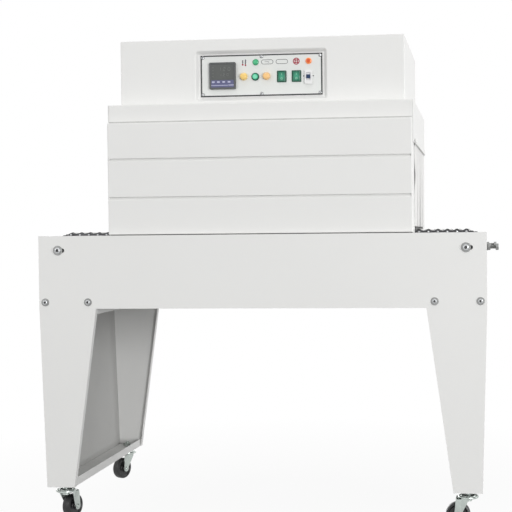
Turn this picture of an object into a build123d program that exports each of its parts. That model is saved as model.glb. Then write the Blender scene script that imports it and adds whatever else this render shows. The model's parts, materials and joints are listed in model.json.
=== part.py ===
from build123d import *
import os
from math import cos, pi, sin

# Shrink wrapping machine: a heat tunnel over a roller chain conveyor, on a sheet steel table with casters.
# Millimetres. X runs along the conveyor, the operator's side is at -Y, Z is up, and the origin lies on
# the floor below the middle of the table.

# Table
TABLE_LENGTH = 1200
TABLE_WIDTH = 680
TABLE_TOP = 775
SHEET = 2
SKIRT_HEIGHT = 196
LEG_BOTTOM = 95
LEG_TOP_WIDTH = 157
LEG_FOOT_WIDTH = 76
LEG_TAPER_IN = 14
FOLD = 18
DECK_WIDTH = 101
DECK_LIP = 22
CROSS_RAIL_HEIGHT = 112
CROSS_RAIL_FOLD = 25
CROSS_RAIL_DROP = 16

# Foot channels and casters
FOOT_PLATE = 4
FOOT_LIP_HEIGHT = 22
FOOT_LIP = 3
WHEEL_RADIUS = 32.5
TREAD_WIDTH = 23
HUB_WIDTH = 31
HUB_RADIUS = 11
AXLE_RADIUS = 4
RUNNING_GAP = 0.05
CASTER_TRAIL = 27
CASTER_X = 548
CASTER_Y = 298
FORK_INSIDE = 33
FORK_SHEET = 2.5
FORK_TOP = 84
FORK_BACK = -18
FORK_FRONT = 24
FORK_EYE_RADIUS = 10
FORK_RACE_RADIUS = 22
FORK_RACE_TOP = 89
STEM_RACE_RADIUS = 19
STEM_RACE_GAP = 0.5
CASTER_HEADINGS = {"front_left": 70, "front_right": 180, "rear_left": 245, "rear_right": 200}

# Roller chain conveyor
PITCH = 25.4
TOP_LINKS = 43
TEETH = 10
SHAFT_Z = 736
SHAFT_RADIUS = 10
CHAIN_Y = 221
CHAIN_ROLLER_RADIUS = 4
CHAIN_INSIDE = 8
PLATE_THICKNESS = 1.5
PLATE_HEIGHT = 12
CARRYING_ROLLER_RADIUS = 7
ROLLER_SIDES = 6
SPROCKET_THICKNESS = 7
TOOTH_TIP_RADIUS = 45.5
SEAT_HALF_ANGLE = 0.08
TIP_HALF_ANGLE = 0.09
RAIL_SHEET = 3
RAIL_HALF_LENGTH = 505
SLOT_LENGTH = 36
SLOT_WIDTH = 12
TAKE_UP_Y = 275
TAKE_UP_BLOCK = (30, 24, 40)

# Heat tunnel
TUNNEL_LENGTH = 818
CORE_WIDTH = 620
CLADDING_DEPTH = 16
CLADDING_BOTTOM = 777
CLADDING_TOP = 1076
PASSAGE_WIDTH = 480
PASSAGE_TOP = 1016
CORE_TOP = 1125
GROOVE_TOPS = (981, 878)
GROOVE_HEIGHT = 9
GROOVE_DEPTH = 4
GROOVE_END = 5
HEADER_SHEET = 2
HEADER_BOTTOM = 1013
CURTAIN_BOTTOM = 792
CURTAIN_STRIPS = 15
CURTAIN_SLIT = 2
CURTAIN_SHEET = 1.5
CURTAIN_BAND = 12
CURTAIN_RAIL = (4, 14)

# Control box and its panel
BOX_LENGTH = 773
BOX_WIDTH = 530
BOX_TOP = 1302
POCKET = (362, 139)
POCKET_DEPTH = 9
POCKET_SLOPE = 12
PANEL_Z = 1203
PANEL = (328, 108)
PANEL_SHEET = 2
CONTROLLER = 72
CONTROLLER_DEPTH = 8
CONTROLLER_CORNER = 3
CONTROLLER_RIM = 5
DISPLAY_DEPTH = 1
CONTROLLER_X = -105
KNOB_RADIUS = 10.5
KNOB_DEPTH = 13
KNOB_GAP = 0.5
KNOB_SKIRT = 2
GRIP_RADIUS = 9.5
GRIP_SIDES = 18
CROWN_HEIGHT = 3
CROWN_SLOPE = 40
POINTER_WIDTH = 1.4
POINTER_DEPTH = 0.8
KNOB_PLACES = {"left_knob": (-47.5, -3), "right_knob": (14.5, -3)}
BUTTON_PLACE = (-16, -4)
BUTTON_RADIUS = 8
BUTTON_TRAVEL = 3
BUTTON_DEPTH = 3
BUTTON_RING_RADIUS = 10.5
BUTTON_RING_DEPTH = 4
ROCKER_PLACES = {"left_rocker": (56, -5), "right_rocker": (96, -5)}
ROCKER = (19, 25)
ROCKER_BACK = 0.6
ROCKER_MIDDLE = 2.2
ROCKER_EDGE = 3.4
ROCKER_PIVOT_DEPTH = 2
ROCKER_WINDOW = (20, 26)
ROCKER_FRAME = (25.5, 31)
ROCKER_FRAME_DEPTH = 2.5
ROCKER_TILT = 7
BREAKER_PLACE = (128.5, -9)
BREAKER = (20, 36)
BREAKER_DEPTH = 6
BREAKER_CORNER = 1.5
WINDOW_FLOOR = 2
TOGGLE_WINDOW = (11, 20)
TOGGLE = (10, 10)
TOGGLE_DEPTH = 6
TOGGLE_RISE = 2
TOGGLE_PIVOT_DEPTH = 4
LAMP_RADIUS = 8.5
LAMP_DEPTH = 5
LAMP_FLANGE = 1.2
LENS_RADIUS = 7.5
LENS_SLOPE = 25
LAMP_PLACES = {"green_lamp": (-15, 35), "orange_lamp": (129, 35)}

# Worked out from the dimensions above
HALF_LENGTH = TABLE_LENGTH / 2
HALF_WIDTH = TABLE_WIDTH / 2
SKIRT_BOTTOM = TABLE_TOP - SKIRT_HEIGHT
PITCH_RADIUS = PITCH / (2 * sin(pi / TEETH))
TOOTH_STEP = 2 * pi / TEETH
SHAFT_X = TOP_LINKS * PITCH / 2
CHAIN_Z = SHAFT_Z + PITCH_RADIUS
CHAIN_HALF_WIDTH = CHAIN_INSIDE / 2 + 2 * PLATE_THICKNESS
PANEL_FACE_Y = -BOX_WIDTH / 2 + POCKET_DEPTH - PANEL_SHEET


def outline_xz(points, y_low, y_high):
    """A solid with its outline in X and Z, filling from y_low to y_high."""
    face = make_face(Polyline(*points, close=True))
    return Pos(0, y_high, 0) * extrude(Plane.XZ * face, y_high - y_low)


def outline_yz(points, x_low, x_high):
    """A solid with its outline in Y and Z, filling from x_low to x_high."""
    face = make_face(Polyline(*points, close=True))
    return Pos(x_low, 0, 0) * extrude(Plane.YZ * face, x_high - x_low)


def block(x_range, y_range, z_range):
    """A box given by its limits along each axis."""
    low = (x_range[0], y_range[0], z_range[0])
    size = (x_range[1] - x_range[0], y_range[1] - y_range[0], z_range[1] - z_range[0])
    return Pos(*low) * Box(*size, align=(Align.MIN, Align.MIN, Align.MIN))


def bar_y(radius, x, z, y_low, y_high):
    """A round bar that lies along Y."""
    return Pos(x, y_high, z) * extrude(Plane.XZ * Circle(radius), y_high - y_low)


def to_rear(shape):
    """The same piece on the other side of the table's long middle plane."""
    return mirror(shape, about=Plane.XZ)


def to_left(shape):
    """The same piece at the other end of the table."""
    return mirror(shape, about=Plane.YZ)


def group(solids):
    """Several like solids that are kept together as one piece."""
    return Compound(children=list(solids))


# Skirts: each is one sheet with its two legs, cut as one outline, with folded edges round the bay
# between the legs and a slot at each end for the shaft bolt.
def leg_inner_x(z):
    """Distance from the middle to a leg's inner edge at a height."""
    top = HALF_LENGTH - LEG_TOP_WIDTH
    foot = HALF_LENGTH - LEG_TAPER_IN - LEG_FOOT_WIDTH
    share = (SKIRT_BOTTOM - z) / (SKIRT_BOTTOM - LEG_BOTTOM)
    return top + (foot - top) * share


def leg_outer_x(z):
    """Distance from the middle to a leg's outer edge at a height."""
    share = max(0, (SKIRT_BOTTOM - z) / (SKIRT_BOTTOM - LEG_BOTTOM))
    return HALF_LENGTH - LEG_TAPER_IN * share


def skirt():
    """The front skirt with its legs."""
    foot_out = leg_outer_x(LEG_BOTTOM)
    foot_in = leg_inner_x(LEG_BOTTOM)
    top_in = leg_inner_x(SKIRT_BOTTOM)
    half = [
        (HALF_LENGTH, TABLE_TOP),
        (HALF_LENGTH, SKIRT_BOTTOM),
        (foot_out, LEG_BOTTOM),
        (foot_in, LEG_BOTTOM),
        (top_in, SKIRT_BOTTOM),
    ]
    points = half + [(-x, z) for x, z in reversed(half)]
    sheet = outline_xz(points, -HALF_WIDTH, -HALF_WIDTH + SHEET)
    bay = [(foot_in, LEG_BOTTOM), (top_in, SKIRT_BOTTOM), (-top_in, SKIRT_BOTTOM), (-foot_in, LEG_BOTTOM)]
    shell = [
        (foot_in + SHEET, LEG_BOTTOM),
        (top_in + SHEET, SKIRT_BOTTOM + SHEET),
        (-top_in - SHEET, SKIRT_BOTTOM + SHEET),
        (-foot_in - SHEET, LEG_BOTTOM),
    ]
    fold_back = -HALF_WIDTH + FOLD
    fold = outline_xz(shell, -HALF_WIDTH, fold_back) - outline_xz(bay, -HALF_WIDTH, fold_back)
    body = sheet + fold
    slot = Plane.XZ * SlotOverall(SLOT_LENGTH, SLOT_WIDTH)
    for side in (-1, 1):
        body -= Pos(side * SHAFT_X, 0, SHAFT_Z) * extrude(slot, HALF_WIDTH + FOLD)
    return body


# End panels: one sheet at each end, from the table top down to the feet, bent where the legs taper.
def end_panel():
    """The right end panel, between the skirts."""
    points = [
        (HALF_LENGTH, TABLE_TOP),
        (HALF_LENGTH, SKIRT_BOTTOM),
        (leg_outer_x(LEG_BOTTOM), LEG_BOTTOM),
        (leg_outer_x(LEG_BOTTOM) - SHEET, LEG_BOTTOM),
        (HALF_LENGTH - SHEET, SKIRT_BOTTOM),
        (HALF_LENGTH - SHEET, TABLE_TOP),
    ]
    inside = HALF_WIDTH - SHEET
    return outline_xz(points, -inside, inside)


# Foot channels: the plates that close the legs' feet and carry the casters, with an upturned lip.
def foot_channel():
    """The right foot channel."""
    outer = leg_outer_x(LEG_BOTTOM) - SHEET
    inner = leg_inner_x(LEG_BOTTOM) + SHEET + RUNNING_GAP
    points = [
        (outer, LEG_BOTTOM),
        (outer, LEG_BOTTOM + FOOT_PLATE),
        (inner + FOOT_LIP, LEG_BOTTOM + FOOT_PLATE),
        (inner + FOOT_LIP, LEG_BOTTOM + FOOT_LIP_HEIGHT),
        (inner, LEG_BOTTOM + FOOT_LIP_HEIGHT),
        (inner, LEG_BOTTOM),
    ]
    inside = HALF_WIDTH - SHEET
    return outline_xz(points, -inside, inside)


# Cross rails: a channel at each end that ties the two skirts together below the chain.
def cross_rail():
    """The right cross rail, open towards the end panel."""
    bottom = SKIRT_BOTTOM - CROSS_RAIL_DROP
    top = bottom + CROSS_RAIL_HEIGHT
    web = leg_inner_x(bottom) + 2 * SHEET
    points = [
        (web, bottom),
        (web + CROSS_RAIL_FOLD, bottom),
        (web + CROSS_RAIL_FOLD, bottom + SHEET),
        (web + SHEET, bottom + SHEET),
        (web + SHEET, top - SHEET),
        (web + CROSS_RAIL_FOLD, top - SHEET),
        (web + CROSS_RAIL_FOLD, top),
        (web, top),
    ]
    inside = HALF_WIDTH - SHEET
    return outline_xz(points, -inside, inside)


# Deck strips: the table's flat margins beside the chain, folded down at both edges.
def deck_strip():
    """The front deck strip, between the end panels."""
    outer = -HALF_WIDTH + SHEET
    inner = outer + DECK_WIDTH
    points = [
        (outer, TABLE_TOP - DECK_LIP),
        (outer, TABLE_TOP),
        (inner, TABLE_TOP),
        (inner, TABLE_TOP - DECK_LIP),
        (inner - SHEET, TABLE_TOP - DECK_LIP),
        (inner - SHEET, TABLE_TOP - SHEET),
        (outer + SHEET, TABLE_TOP - SHEET),
        (outer + SHEET, TABLE_TOP - DECK_LIP),
    ]
    reach = HALF_LENGTH - SHEET
    return outline_yz(points, -reach, reach)


# Chain rails: an angle on each deck strip's inner fold, whose ledge the chain plates slide on.
def chain_rail():
    """The front chain rail."""
    outer = -HALF_WIDTH + SHEET + DECK_WIDTH
    ledge_top = CHAIN_Z - PLATE_HEIGHT / 2
    ledge_end = -CHAIN_Y + CHAIN_HALF_WIDTH - PLATE_THICKNESS
    points = [
        (outer, TABLE_TOP - DECK_LIP),
        (outer, TABLE_TOP),
        (outer + RAIL_SHEET, TABLE_TOP),
        (outer + RAIL_SHEET, ledge_top),
        (ledge_end, ledge_top),
        (ledge_end, ledge_top - RAIL_SHEET),
        (outer + RAIL_SHEET, ledge_top - RAIL_SHEET),
        (outer + RAIL_SHEET, TABLE_TOP - DECK_LIP),
    ]
    return outline_yz(points, -RAIL_HALF_LENGTH, RAIL_HALF_LENGTH)


# Chain: both loops run over a ten-tooth sprocket at each end, with a pin at every pitch.
def chain_pins():
    """Every pin of one loop as (x, z), in order: top run, right wrap, bottom run, left wrap."""
    top = [(i * PITCH - SHAFT_X, CHAIN_Z) for i in range(TOP_LINKS + 1)]
    wrap = [pi / 2 - i * TOOTH_STEP for i in range(1, TEETH // 2)]
    right = [(SHAFT_X + PITCH_RADIUS * cos(a), SHAFT_Z + PITCH_RADIUS * sin(a)) for a in wrap]
    half = top + right
    return half + [(-x, 2 * SHAFT_Z - z) for x, z in half]


def loop_outline(margin):
    """The chain's closed line, straight from pin to pin round the wraps, moved outwards by a margin."""
    turns = [pi / 2 - i * TOOTH_STEP for i in range(TEETH // 2 + 1)]
    right = [(SHAFT_X + PITCH_RADIUS * cos(turn), PITCH_RADIUS * sin(turn)) for turn in turns]
    line = make_face(Polyline(*right, *[(-x, -z) for x, z in right], close=True))
    return offset(line, margin, kind=Kind.INTERSECTION)


def chain():
    """The front chain: side plates as one band on each side, straight from pin to pin, and the bushes."""
    band = loop_outline(PLATE_HEIGHT / 2) - loop_outline(-PLATE_HEIGHT / 2)
    side = extrude(Plane.XZ * band, 2 * PLATE_THICKNESS)
    inside = CHAIN_INSIDE / 2
    plates = [
        Pos(0, -CHAIN_Y - inside, SHAFT_Z) * side,
        Pos(0, -CHAIN_Y + CHAIN_HALF_WIDTH, SHAFT_Z) * side,
    ]
    bush = extrude(Plane.XZ * RegularPolygon(CHAIN_ROLLER_RADIUS, ROLLER_SIDES), CHAIN_INSIDE)
    bushes = [Pos(x, -CHAIN_Y + inside, z) * bush for x, z in chain_pins()]
    return plates[0].fuse(plates[1], *bushes)


def carrying_rollers():
    """The slim tubes between the two chains, one at each pin."""
    length = 2 * (CHAIN_Y - CHAIN_HALF_WIDTH)
    tube = extrude(Plane.XZ * RegularPolygon(CARRYING_ROLLER_RADIUS, ROLLER_SIDES), length)
    return group(Pos(x, length / 2, z) * tube for x, z in chain_pins())


# Shafts, sprockets and take-up: a fixed shaft at each end, held by its bolts in the skirts' slots.
def shafts():
    """The two shafts, from skirt to skirt."""
    inside = HALF_WIDTH - SHEET
    return group(bar_y(SHAFT_RADIUS, side * SHAFT_X, SHAFT_Z, -inside, inside) for side in (-1, 1))


def sprocket_outline():
    """The toothed edge: a flat seat below each bush, and a straight-sided tooth between seats."""
    root = PITCH_RADIUS - CHAIN_ROLLER_RADIUS
    points = []
    for tooth in range(TEETH):
        seat = pi / 2 + tooth * TOOTH_STEP
        tip = seat + TOOTH_STEP / 2
        steps = [
            (root, seat - SEAT_HALF_ANGLE),
            (root, seat + SEAT_HALF_ANGLE),
            (TOOTH_TIP_RADIUS, tip - TIP_HALF_ANGLE),
            (TOOTH_TIP_RADIUS, tip + TIP_HALF_ANGLE),
        ]
        points += [(radius * cos(angle), radius * sin(angle)) for radius, angle in steps]
    return make_face(Polyline(*points, close=True))


def sprockets():
    """Four ten-tooth sprockets, one in each end of each chain, with its teeth between the bushes."""
    wheel = extrude(Plane.XZ * (sprocket_outline() - Circle(SHAFT_RADIUS)), SPROCKET_THICKNESS)
    half = SPROCKET_THICKNESS / 2
    places = [(x, y + half, SHAFT_Z) for x in (-SHAFT_X, SHAFT_X) for y in (-CHAIN_Y, CHAIN_Y)]
    return group(Pos(*place) * wheel for place in places)


def take_ups():
    """The two blocks on the right shaft, by which its tension screws pull it outwards."""
    length, width, height = TAKE_UP_BLOCK
    body = Box(length, width, height) - bar_y(SHAFT_RADIUS, 0, 0, -width / 2, width / 2)
    return group(Pos(SHAFT_X, y, SHAFT_Z) * body for y in (-TAKE_UP_Y, TAKE_UP_Y))


# Heat tunnel: insulated side walls and roof, with a pressed cladding on each long side.
def tunnel_wall():
    """The front side wall, from the deck to the passage's ceiling."""
    half = TUNNEL_LENGTH / 2
    return block((-half, half), (-CORE_WIDTH / 2, -PASSAGE_WIDTH / 2), (TABLE_TOP, PASSAGE_TOP))


def tunnel_roof():
    """The roof over the passage, with the heaters and fan inside it."""
    half = TUNNEL_LENGTH / 2
    return block((-half, half), (-CORE_WIDTH / 2, CORE_WIDTH / 2), (PASSAGE_TOP, CORE_TOP))


def cladding():
    """The front cladding, with two grooves that stop short of its ends."""
    half = TUNNEL_LENGTH / 2
    outer = -CORE_WIDTH / 2 - CLADDING_DEPTH
    panel = block((-half, half), (outer, -CORE_WIDTH / 2), (CLADDING_BOTTOM, CLADDING_TOP))
    reach = half - GROOVE_END
    for top in GROOVE_TOPS:
        points = [(outer, top), (outer + GROOVE_DEPTH, top), (outer, top - GROOVE_HEIGHT)]
        panel -= outline_yz(points, -reach, reach)
    return panel


def end_headers():
    """The two sheets that close the roof's ends above the passage."""
    half = TUNNEL_LENGTH / 2
    width = CORE_WIDTH / 2
    header = block((half, half + HEADER_SHEET), (-width, width), (HEADER_BOTTOM, CORE_TOP))
    return group([header, to_left(header)])


def curtain():
    """The right curtain: strips of coated cloth that hang from one band."""
    face = TUNNEL_LENGTH / 2 + HEADER_SHEET
    width = PASSAGE_WIDTH / 2
    top = HEADER_BOTTOM + CURTAIN_BAND
    sheet = block((face, face + CURTAIN_SHEET), (-width, width), (CURTAIN_BOTTOM, top))
    pitch = PASSAGE_WIDTH / CURTAIN_STRIPS
    for i in range(1, CURTAIN_STRIPS):
        y = i * pitch - width
        slit = (y - CURTAIN_SLIT / 2, y + CURTAIN_SLIT / 2)
        sheet -= block((face, face + CURTAIN_SHEET), slit, (CURTAIN_BOTTOM, HEADER_BOTTOM))
    return sheet


def curtain_rails():
    """The flat bars that clamp the curtains to the headers."""
    face = TUNNEL_LENGTH / 2 + HEADER_SHEET + CURTAIN_SHEET
    thick, tall = CURTAIN_RAIL
    width = PASSAGE_WIDTH / 2
    top = HEADER_BOTTOM + CURTAIN_BAND
    rail = block((face, face + thick), (-width, width), (top - tall, top))
    return group([rail, to_left(rail)])


# Control box: a closed housing on the tunnel's roof, with a sloping-sided pocket for the panel.
def on_panel(place, depth):
    """The location at a place on the panel, that far in front of its face, with Z pointing out."""
    x, z = place
    return Plane((x, PANEL_FACE_Y - depth, PANEL_Z + z), x_dir=(1, 0, 0), z_dir=(0, -1, 0)).location


def control_box():
    """The housing with its pocket."""
    half = BOX_LENGTH / 2
    front = -BOX_WIDTH / 2
    body = block((-half, half), (front, BOX_WIDTH / 2), (CORE_TOP, BOX_TOP))
    mouth = Plane((0, front, PANEL_Z), x_dir=(1, 0, 0), z_dir=(0, -1, 0))
    floor = mouth.offset(-POCKET_DEPTH)
    length, height = POCKET
    small = (length - 2 * POCKET_SLOPE, height - 2 * POCKET_SLOPE)
    return body - loft([mouth * Rectangle(length, height), floor * Rectangle(*small)])


def control_panel():
    """The flat panel plate on the pocket's floor."""
    return on_panel((0, 0), -PANEL_SHEET) * extrude(Rectangle(*PANEL), PANEL_SHEET)


def temperature_controller():
    """The square controller with its raised rim round the display."""
    body = extrude(RectangleRounded(CONTROLLER, CONTROLLER, CONTROLLER_CORNER), CONTROLLER_DEPTH)
    display = Rectangle(CONTROLLER - 2 * CONTROLLER_RIM, CONTROLLER - 2 * CONTROLLER_RIM)
    body -= Pos(0, 0, CONTROLLER_DEPTH - DISPLAY_DEPTH) * extrude(display, DISPLAY_DEPTH)
    return on_panel((CONTROLLER_X, 0), 0) * body


def knob(place):
    """A knob with a round skirt, a many-sided grip that narrows at the top, and a pointer groove."""
    grip = RegularPolygon(GRIP_RADIUS, GRIP_SIDES)
    neck = KNOB_DEPTH - KNOB_GAP - CROWN_HEIGHT
    body = extrude(Circle(KNOB_RADIUS), KNOB_SKIRT)
    body += extrude(grip, neck)
    body += Pos(0, 0, neck) * extrude(grip, CROWN_HEIGHT, taper=CROWN_SLOPE)
    groove = extrude(Rectangle(POINTER_WIDTH, GRIP_RADIUS), CROWN_HEIGHT)
    body -= Pos(0, GRIP_RADIUS / 2, neck + CROWN_HEIGHT - POINTER_DEPTH) * groove
    return on_panel(place, KNOB_GAP) * body


def switch_bezels():
    """The frames round the rockers and the ring round the push-button."""
    pieces = []
    for place in ROCKER_PLACES.values():
        frame = extrude(Rectangle(*ROCKER_FRAME), ROCKER_FRAME_DEPTH)
        frame -= extrude(Rectangle(*ROCKER_WINDOW), ROCKER_FRAME_DEPTH)
        pieces.append(on_panel(place, 0) * frame)
    ring = extrude(Circle(BUTTON_RING_RADIUS) - Circle(BUTTON_RADIUS + RUNNING_GAP), BUTTON_RING_DEPTH)
    pieces.append(on_panel(BUTTON_PLACE, 0) * ring)
    return group(pieces)


def start_button():
    """The push-button, clear of the panel by its travel."""
    body = extrude(Circle(BUTTON_RADIUS), BUTTON_DEPTH)
    return on_panel(BUTTON_PLACE, BUTTON_TRAVEL + KNOB_GAP) * body


def rocker(place):
    """A rocker cap with two sloping faces, tipped to its rest position."""
    width, height = ROCKER
    points = [
        (-height / 2, ROCKER_BACK),
        (height / 2, ROCKER_BACK),
        (height / 2, ROCKER_EDGE),
        (0, ROCKER_MIDDLE),
        (-height / 2, ROCKER_EDGE),
    ]
    face = make_face(Polyline(*points, close=True))
    cap = Pos(-width / 2, 0, 0) * extrude(Plane.YZ * face, width)
    return on_panel(place, ROCKER_PIVOT_DEPTH) * (Rot(ROCKER_TILT, 0, 0) * cap)


def breaker_body():
    """The small breaker's white body, with a slot for its toggle."""
    width, height = BREAKER
    body = extrude(RectangleRounded(width, height, BREAKER_CORNER), BREAKER_DEPTH)
    window = extrude(Rectangle(*TOGGLE_WINDOW), BREAKER_DEPTH - WINDOW_FLOOR)
    body -= Pos(0, TOGGLE_RISE, WINDOW_FLOOR) * window
    return on_panel(BREAKER_PLACE, 0) * body


def breaker_toggle():
    """The breaker's toggle, in the middle of its window."""
    x, z = BREAKER_PLACE
    return on_panel((x, z + TOGGLE_RISE), TOGGLE_PIVOT_DEPTH) * extrude(Rectangle(*TOGGLE), TOGGLE_DEPTH)


def lamp(place):
    """A round indicator lamp: a thin flange and a many-sided lens that narrows to the front."""
    body = extrude(Circle(LAMP_RADIUS), LAMP_FLANGE)
    lens = RegularPolygon(LENS_RADIUS, GRIP_SIDES)
    body += Pos(0, 0, LAMP_FLANGE) * extrude(lens, LAMP_DEPTH - LAMP_FLANGE, taper=LENS_SLOPE)
    return on_panel(place, 0) * body


# Casters: each has a fixed race under the foot channel, a swivelling fork and a wheel.
def caster_stem():
    """The fixed upper race of one caster, close under its foot channel."""
    race_bottom = FORK_RACE_TOP + STEM_RACE_GAP
    return Pos(0, 0, race_bottom) * extrude(Circle(STEM_RACE_RADIUS), LEG_BOTTOM - race_bottom)


def fork_cheek():
    """The outline of a fork cheek in X and Z: straight along the top plate and round about the axle."""
    top_line = Line((FORK_BACK, FORK_TOP), (FORK_FRONT, FORK_TOP))
    axle_eye = Pos(CASTER_TRAIL, WHEEL_RADIUS) * Circle(FORK_EYE_RADIUS)
    return make_hull([top_line, *axle_eye.edges()])


def caster_fork():
    """The pressed fork with its race and axle, trailing towards +X."""
    race_low = FORK_TOP - FORK_SHEET
    body = Pos(0, 0, FORK_TOP) * extrude(Circle(FORK_RACE_RADIUS), FORK_RACE_TOP - FORK_TOP)
    outside = FORK_INSIDE / 2 + FORK_SHEET
    body += block((FORK_BACK, FORK_FRONT), (-outside, outside), (race_low, FORK_TOP))
    cheek = extrude(Plane.XZ * fork_cheek(), FORK_SHEET)
    for y in (-FORK_INSIDE / 2, outside):
        body += Pos(0, y, 0) * cheek
    return body + bar_y(AXLE_RADIUS, CASTER_TRAIL, WHEEL_RADIUS, -outside, outside)


def caster_wheel():
    """The wheel: a solid tyre, and a narrower hub that stands proud of its sides."""
    tread, hub = TREAD_WIDTH / 2, HUB_WIDTH / 2
    body = bar_y(WHEEL_RADIUS, 0, 0, -tread, tread) + bar_y(HUB_RADIUS, 0, 0, -hub, hub)
    body -= bar_y(AXLE_RADIUS + RUNNING_GAP, 0, 0, -hub, hub)
    return Pos(CASTER_TRAIL, 0, WHEEL_RADIUS) * body


def caster_places():
    """Name and location of each caster, turned to where it trails."""
    for name, heading in CASTER_HEADINGS.items():
        x = CASTER_X if name.endswith("right") else -CASTER_X
        y = CASTER_Y if name.startswith("rear") else -CASTER_Y
        yield name, Pos(x, y, 0) * Rot(0, 0, heading)


front_skirt = skirt()
front_wall = tunnel_wall()
front_cladding = cladding()
right_panel = end_panel()
right_curtain = curtain()
front_chain = chain()

parts = {
    "front_skirt": front_skirt,
    "rear_skirt": to_rear(front_skirt),
    "left_end_panel": to_left(right_panel),
    "right_end_panel": right_panel,
    "foot_channels": group([foot_channel(), to_left(foot_channel())]),
    "cross_rails": group([cross_rail(), to_left(cross_rail())]),
    "deck_strips": group([deck_strip(), to_rear(deck_strip())]),
    "chain_rails": group([chain_rail(), to_rear(chain_rail())]),
    "shafts": shafts(),
    "sprockets": sprockets(),
    "take_up_blocks": take_ups(),
    "front_chain": front_chain,
    "rear_chain": to_rear(front_chain),
    "carrying_rollers": carrying_rollers(),
    "tunnel_front_wall": front_wall,
    "tunnel_rear_wall": to_rear(front_wall),
    "tunnel_roof": tunnel_roof(),
    "front_cladding": front_cladding,
    "rear_cladding": to_rear(front_cladding),
    "end_headers": end_headers(),
    "left_curtain": to_left(right_curtain),
    "right_curtain": right_curtain,
    "curtain_rails": curtain_rails(),
    "control_box": control_box(),
    "control_panel": control_panel(),
    "temperature_controller": temperature_controller(),
    "switch_bezels": switch_bezels(),
    "start_button": start_button(),
    "breaker_body": breaker_body(),
    "breaker_toggle": breaker_toggle(),
}
for name, place in KNOB_PLACES.items():
    parts[name] = knob(place)
for name, place in ROCKER_PLACES.items():
    parts[name] = rocker(place)
for name, place in LAMP_PLACES.items():
    parts[name] = lamp(place)

stems = []
for name, location in caster_places():
    stems.append(location * caster_stem())
    parts[f"caster_fork_{name}"] = location * caster_fork()
    parts[f"caster_wheel_{name}"] = location * caster_wheel()
parts["caster_stems"] = group(stems)

os.makedirs("parts", exist_ok=True)
for name, shape in parts.items():
    export_step(shape, f"parts/{name}.step")
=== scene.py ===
import json
import math
import random

import bmesh
import bpy
from mathutils import Matrix, Vector


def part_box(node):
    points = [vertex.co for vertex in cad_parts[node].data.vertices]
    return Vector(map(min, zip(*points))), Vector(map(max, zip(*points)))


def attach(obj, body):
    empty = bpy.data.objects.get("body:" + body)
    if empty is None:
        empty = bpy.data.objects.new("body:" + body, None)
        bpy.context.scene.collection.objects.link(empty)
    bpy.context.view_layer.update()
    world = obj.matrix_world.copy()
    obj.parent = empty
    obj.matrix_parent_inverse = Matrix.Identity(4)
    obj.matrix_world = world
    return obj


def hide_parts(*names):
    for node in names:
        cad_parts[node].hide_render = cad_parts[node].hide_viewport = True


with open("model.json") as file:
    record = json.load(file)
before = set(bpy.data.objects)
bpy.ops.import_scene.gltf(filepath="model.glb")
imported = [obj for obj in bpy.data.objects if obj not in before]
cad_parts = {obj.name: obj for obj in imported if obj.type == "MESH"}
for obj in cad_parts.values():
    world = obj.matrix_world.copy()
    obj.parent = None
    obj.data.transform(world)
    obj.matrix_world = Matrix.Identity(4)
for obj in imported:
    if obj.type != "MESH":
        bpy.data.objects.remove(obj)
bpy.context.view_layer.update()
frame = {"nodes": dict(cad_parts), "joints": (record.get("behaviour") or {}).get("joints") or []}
cad = frame["nodes"]
MM = 0.001

# Viewpoint
# The machine is seen from in front and a little to its right, from about eye height of a seated person.
# The lens sits off centre, as on a camera whose picture was cropped from a wider one.
CAMERA_PLACE = (0.590, -3.592, 0.777)
CAMERA_TURN = 6.86
CAMERA_TIP = -1.77
CAMERA_ROLL = -0.55
CAMERA_FOCAL = 87.9
CAMERA_SHIFT = (-0.15, 0.03)

camera_data = bpy.data.cameras.new("camera")
camera_data.lens = CAMERA_FOCAL
camera_data.sensor_width = 36
camera_data.shift_x, camera_data.shift_y = CAMERA_SHIFT
camera_data.clip_end = 60
camera = bpy.data.objects.new("camera", camera_data)
bpy.context.collection.objects.link(camera)
camera.matrix_world = (
    Matrix.Translation(CAMERA_PLACE)
    @ Matrix.Rotation(math.radians(CAMERA_TURN), 4, "Z")
    @ Matrix.Rotation(math.radians(90 + CAMERA_TIP), 4, "X")
    @ Matrix.Rotation(math.radians(CAMERA_ROLL), 4, "Z")
)
bpy.context.scene.camera = camera


# Studio
# A white sweep: the floor shows only a faint shadow and runs out to plain white. Five large soft boxes stand
# round the machine, the strongest in front on the right, and weaker ones right, left, above and behind.
FLOOR_HALF = 14


def add_node(tree, kind, **values):
    """A shader node with some of its properties or inputs set."""
    node = tree.nodes.new("ShaderNode" + kind)
    for key, value in values.items():
        if key in node.inputs:
            node.inputs[key].default_value = value
        else:
            setattr(node, key, value)
    return node


def fill(node, values):
    """Sets inputs of a node by their names or numbers."""
    for label, value in values.items():
        node.inputs[label].default_value = value
    return node


def wire(tree, *joins):
    """Links sockets: each join is a node and its output, then a node and its input."""
    for source, output, target, entry in joins:
        tree.links.new(source.outputs[output], target.inputs[entry])


def blank_tree(owner):
    """The emptied node tree of a material or a world."""
    owner.use_nodes = True
    owner.node_tree.nodes.clear()
    return owner.node_tree


def soft_box(name, place, aim_height, size, power):
    """A large area lamp that faces the machine's middle at a height."""
    data = bpy.data.lights.new(name, "AREA")
    data.size = size
    data.energy = power
    lamp = bpy.data.objects.new(name, data)
    bpy.context.collection.objects.link(lamp)
    lamp.location = place
    lamp.rotation_euler = (Vector((0, 0, aim_height)) - Vector(place)).to_track_quat("-Z", "Y").to_euler()


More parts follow.
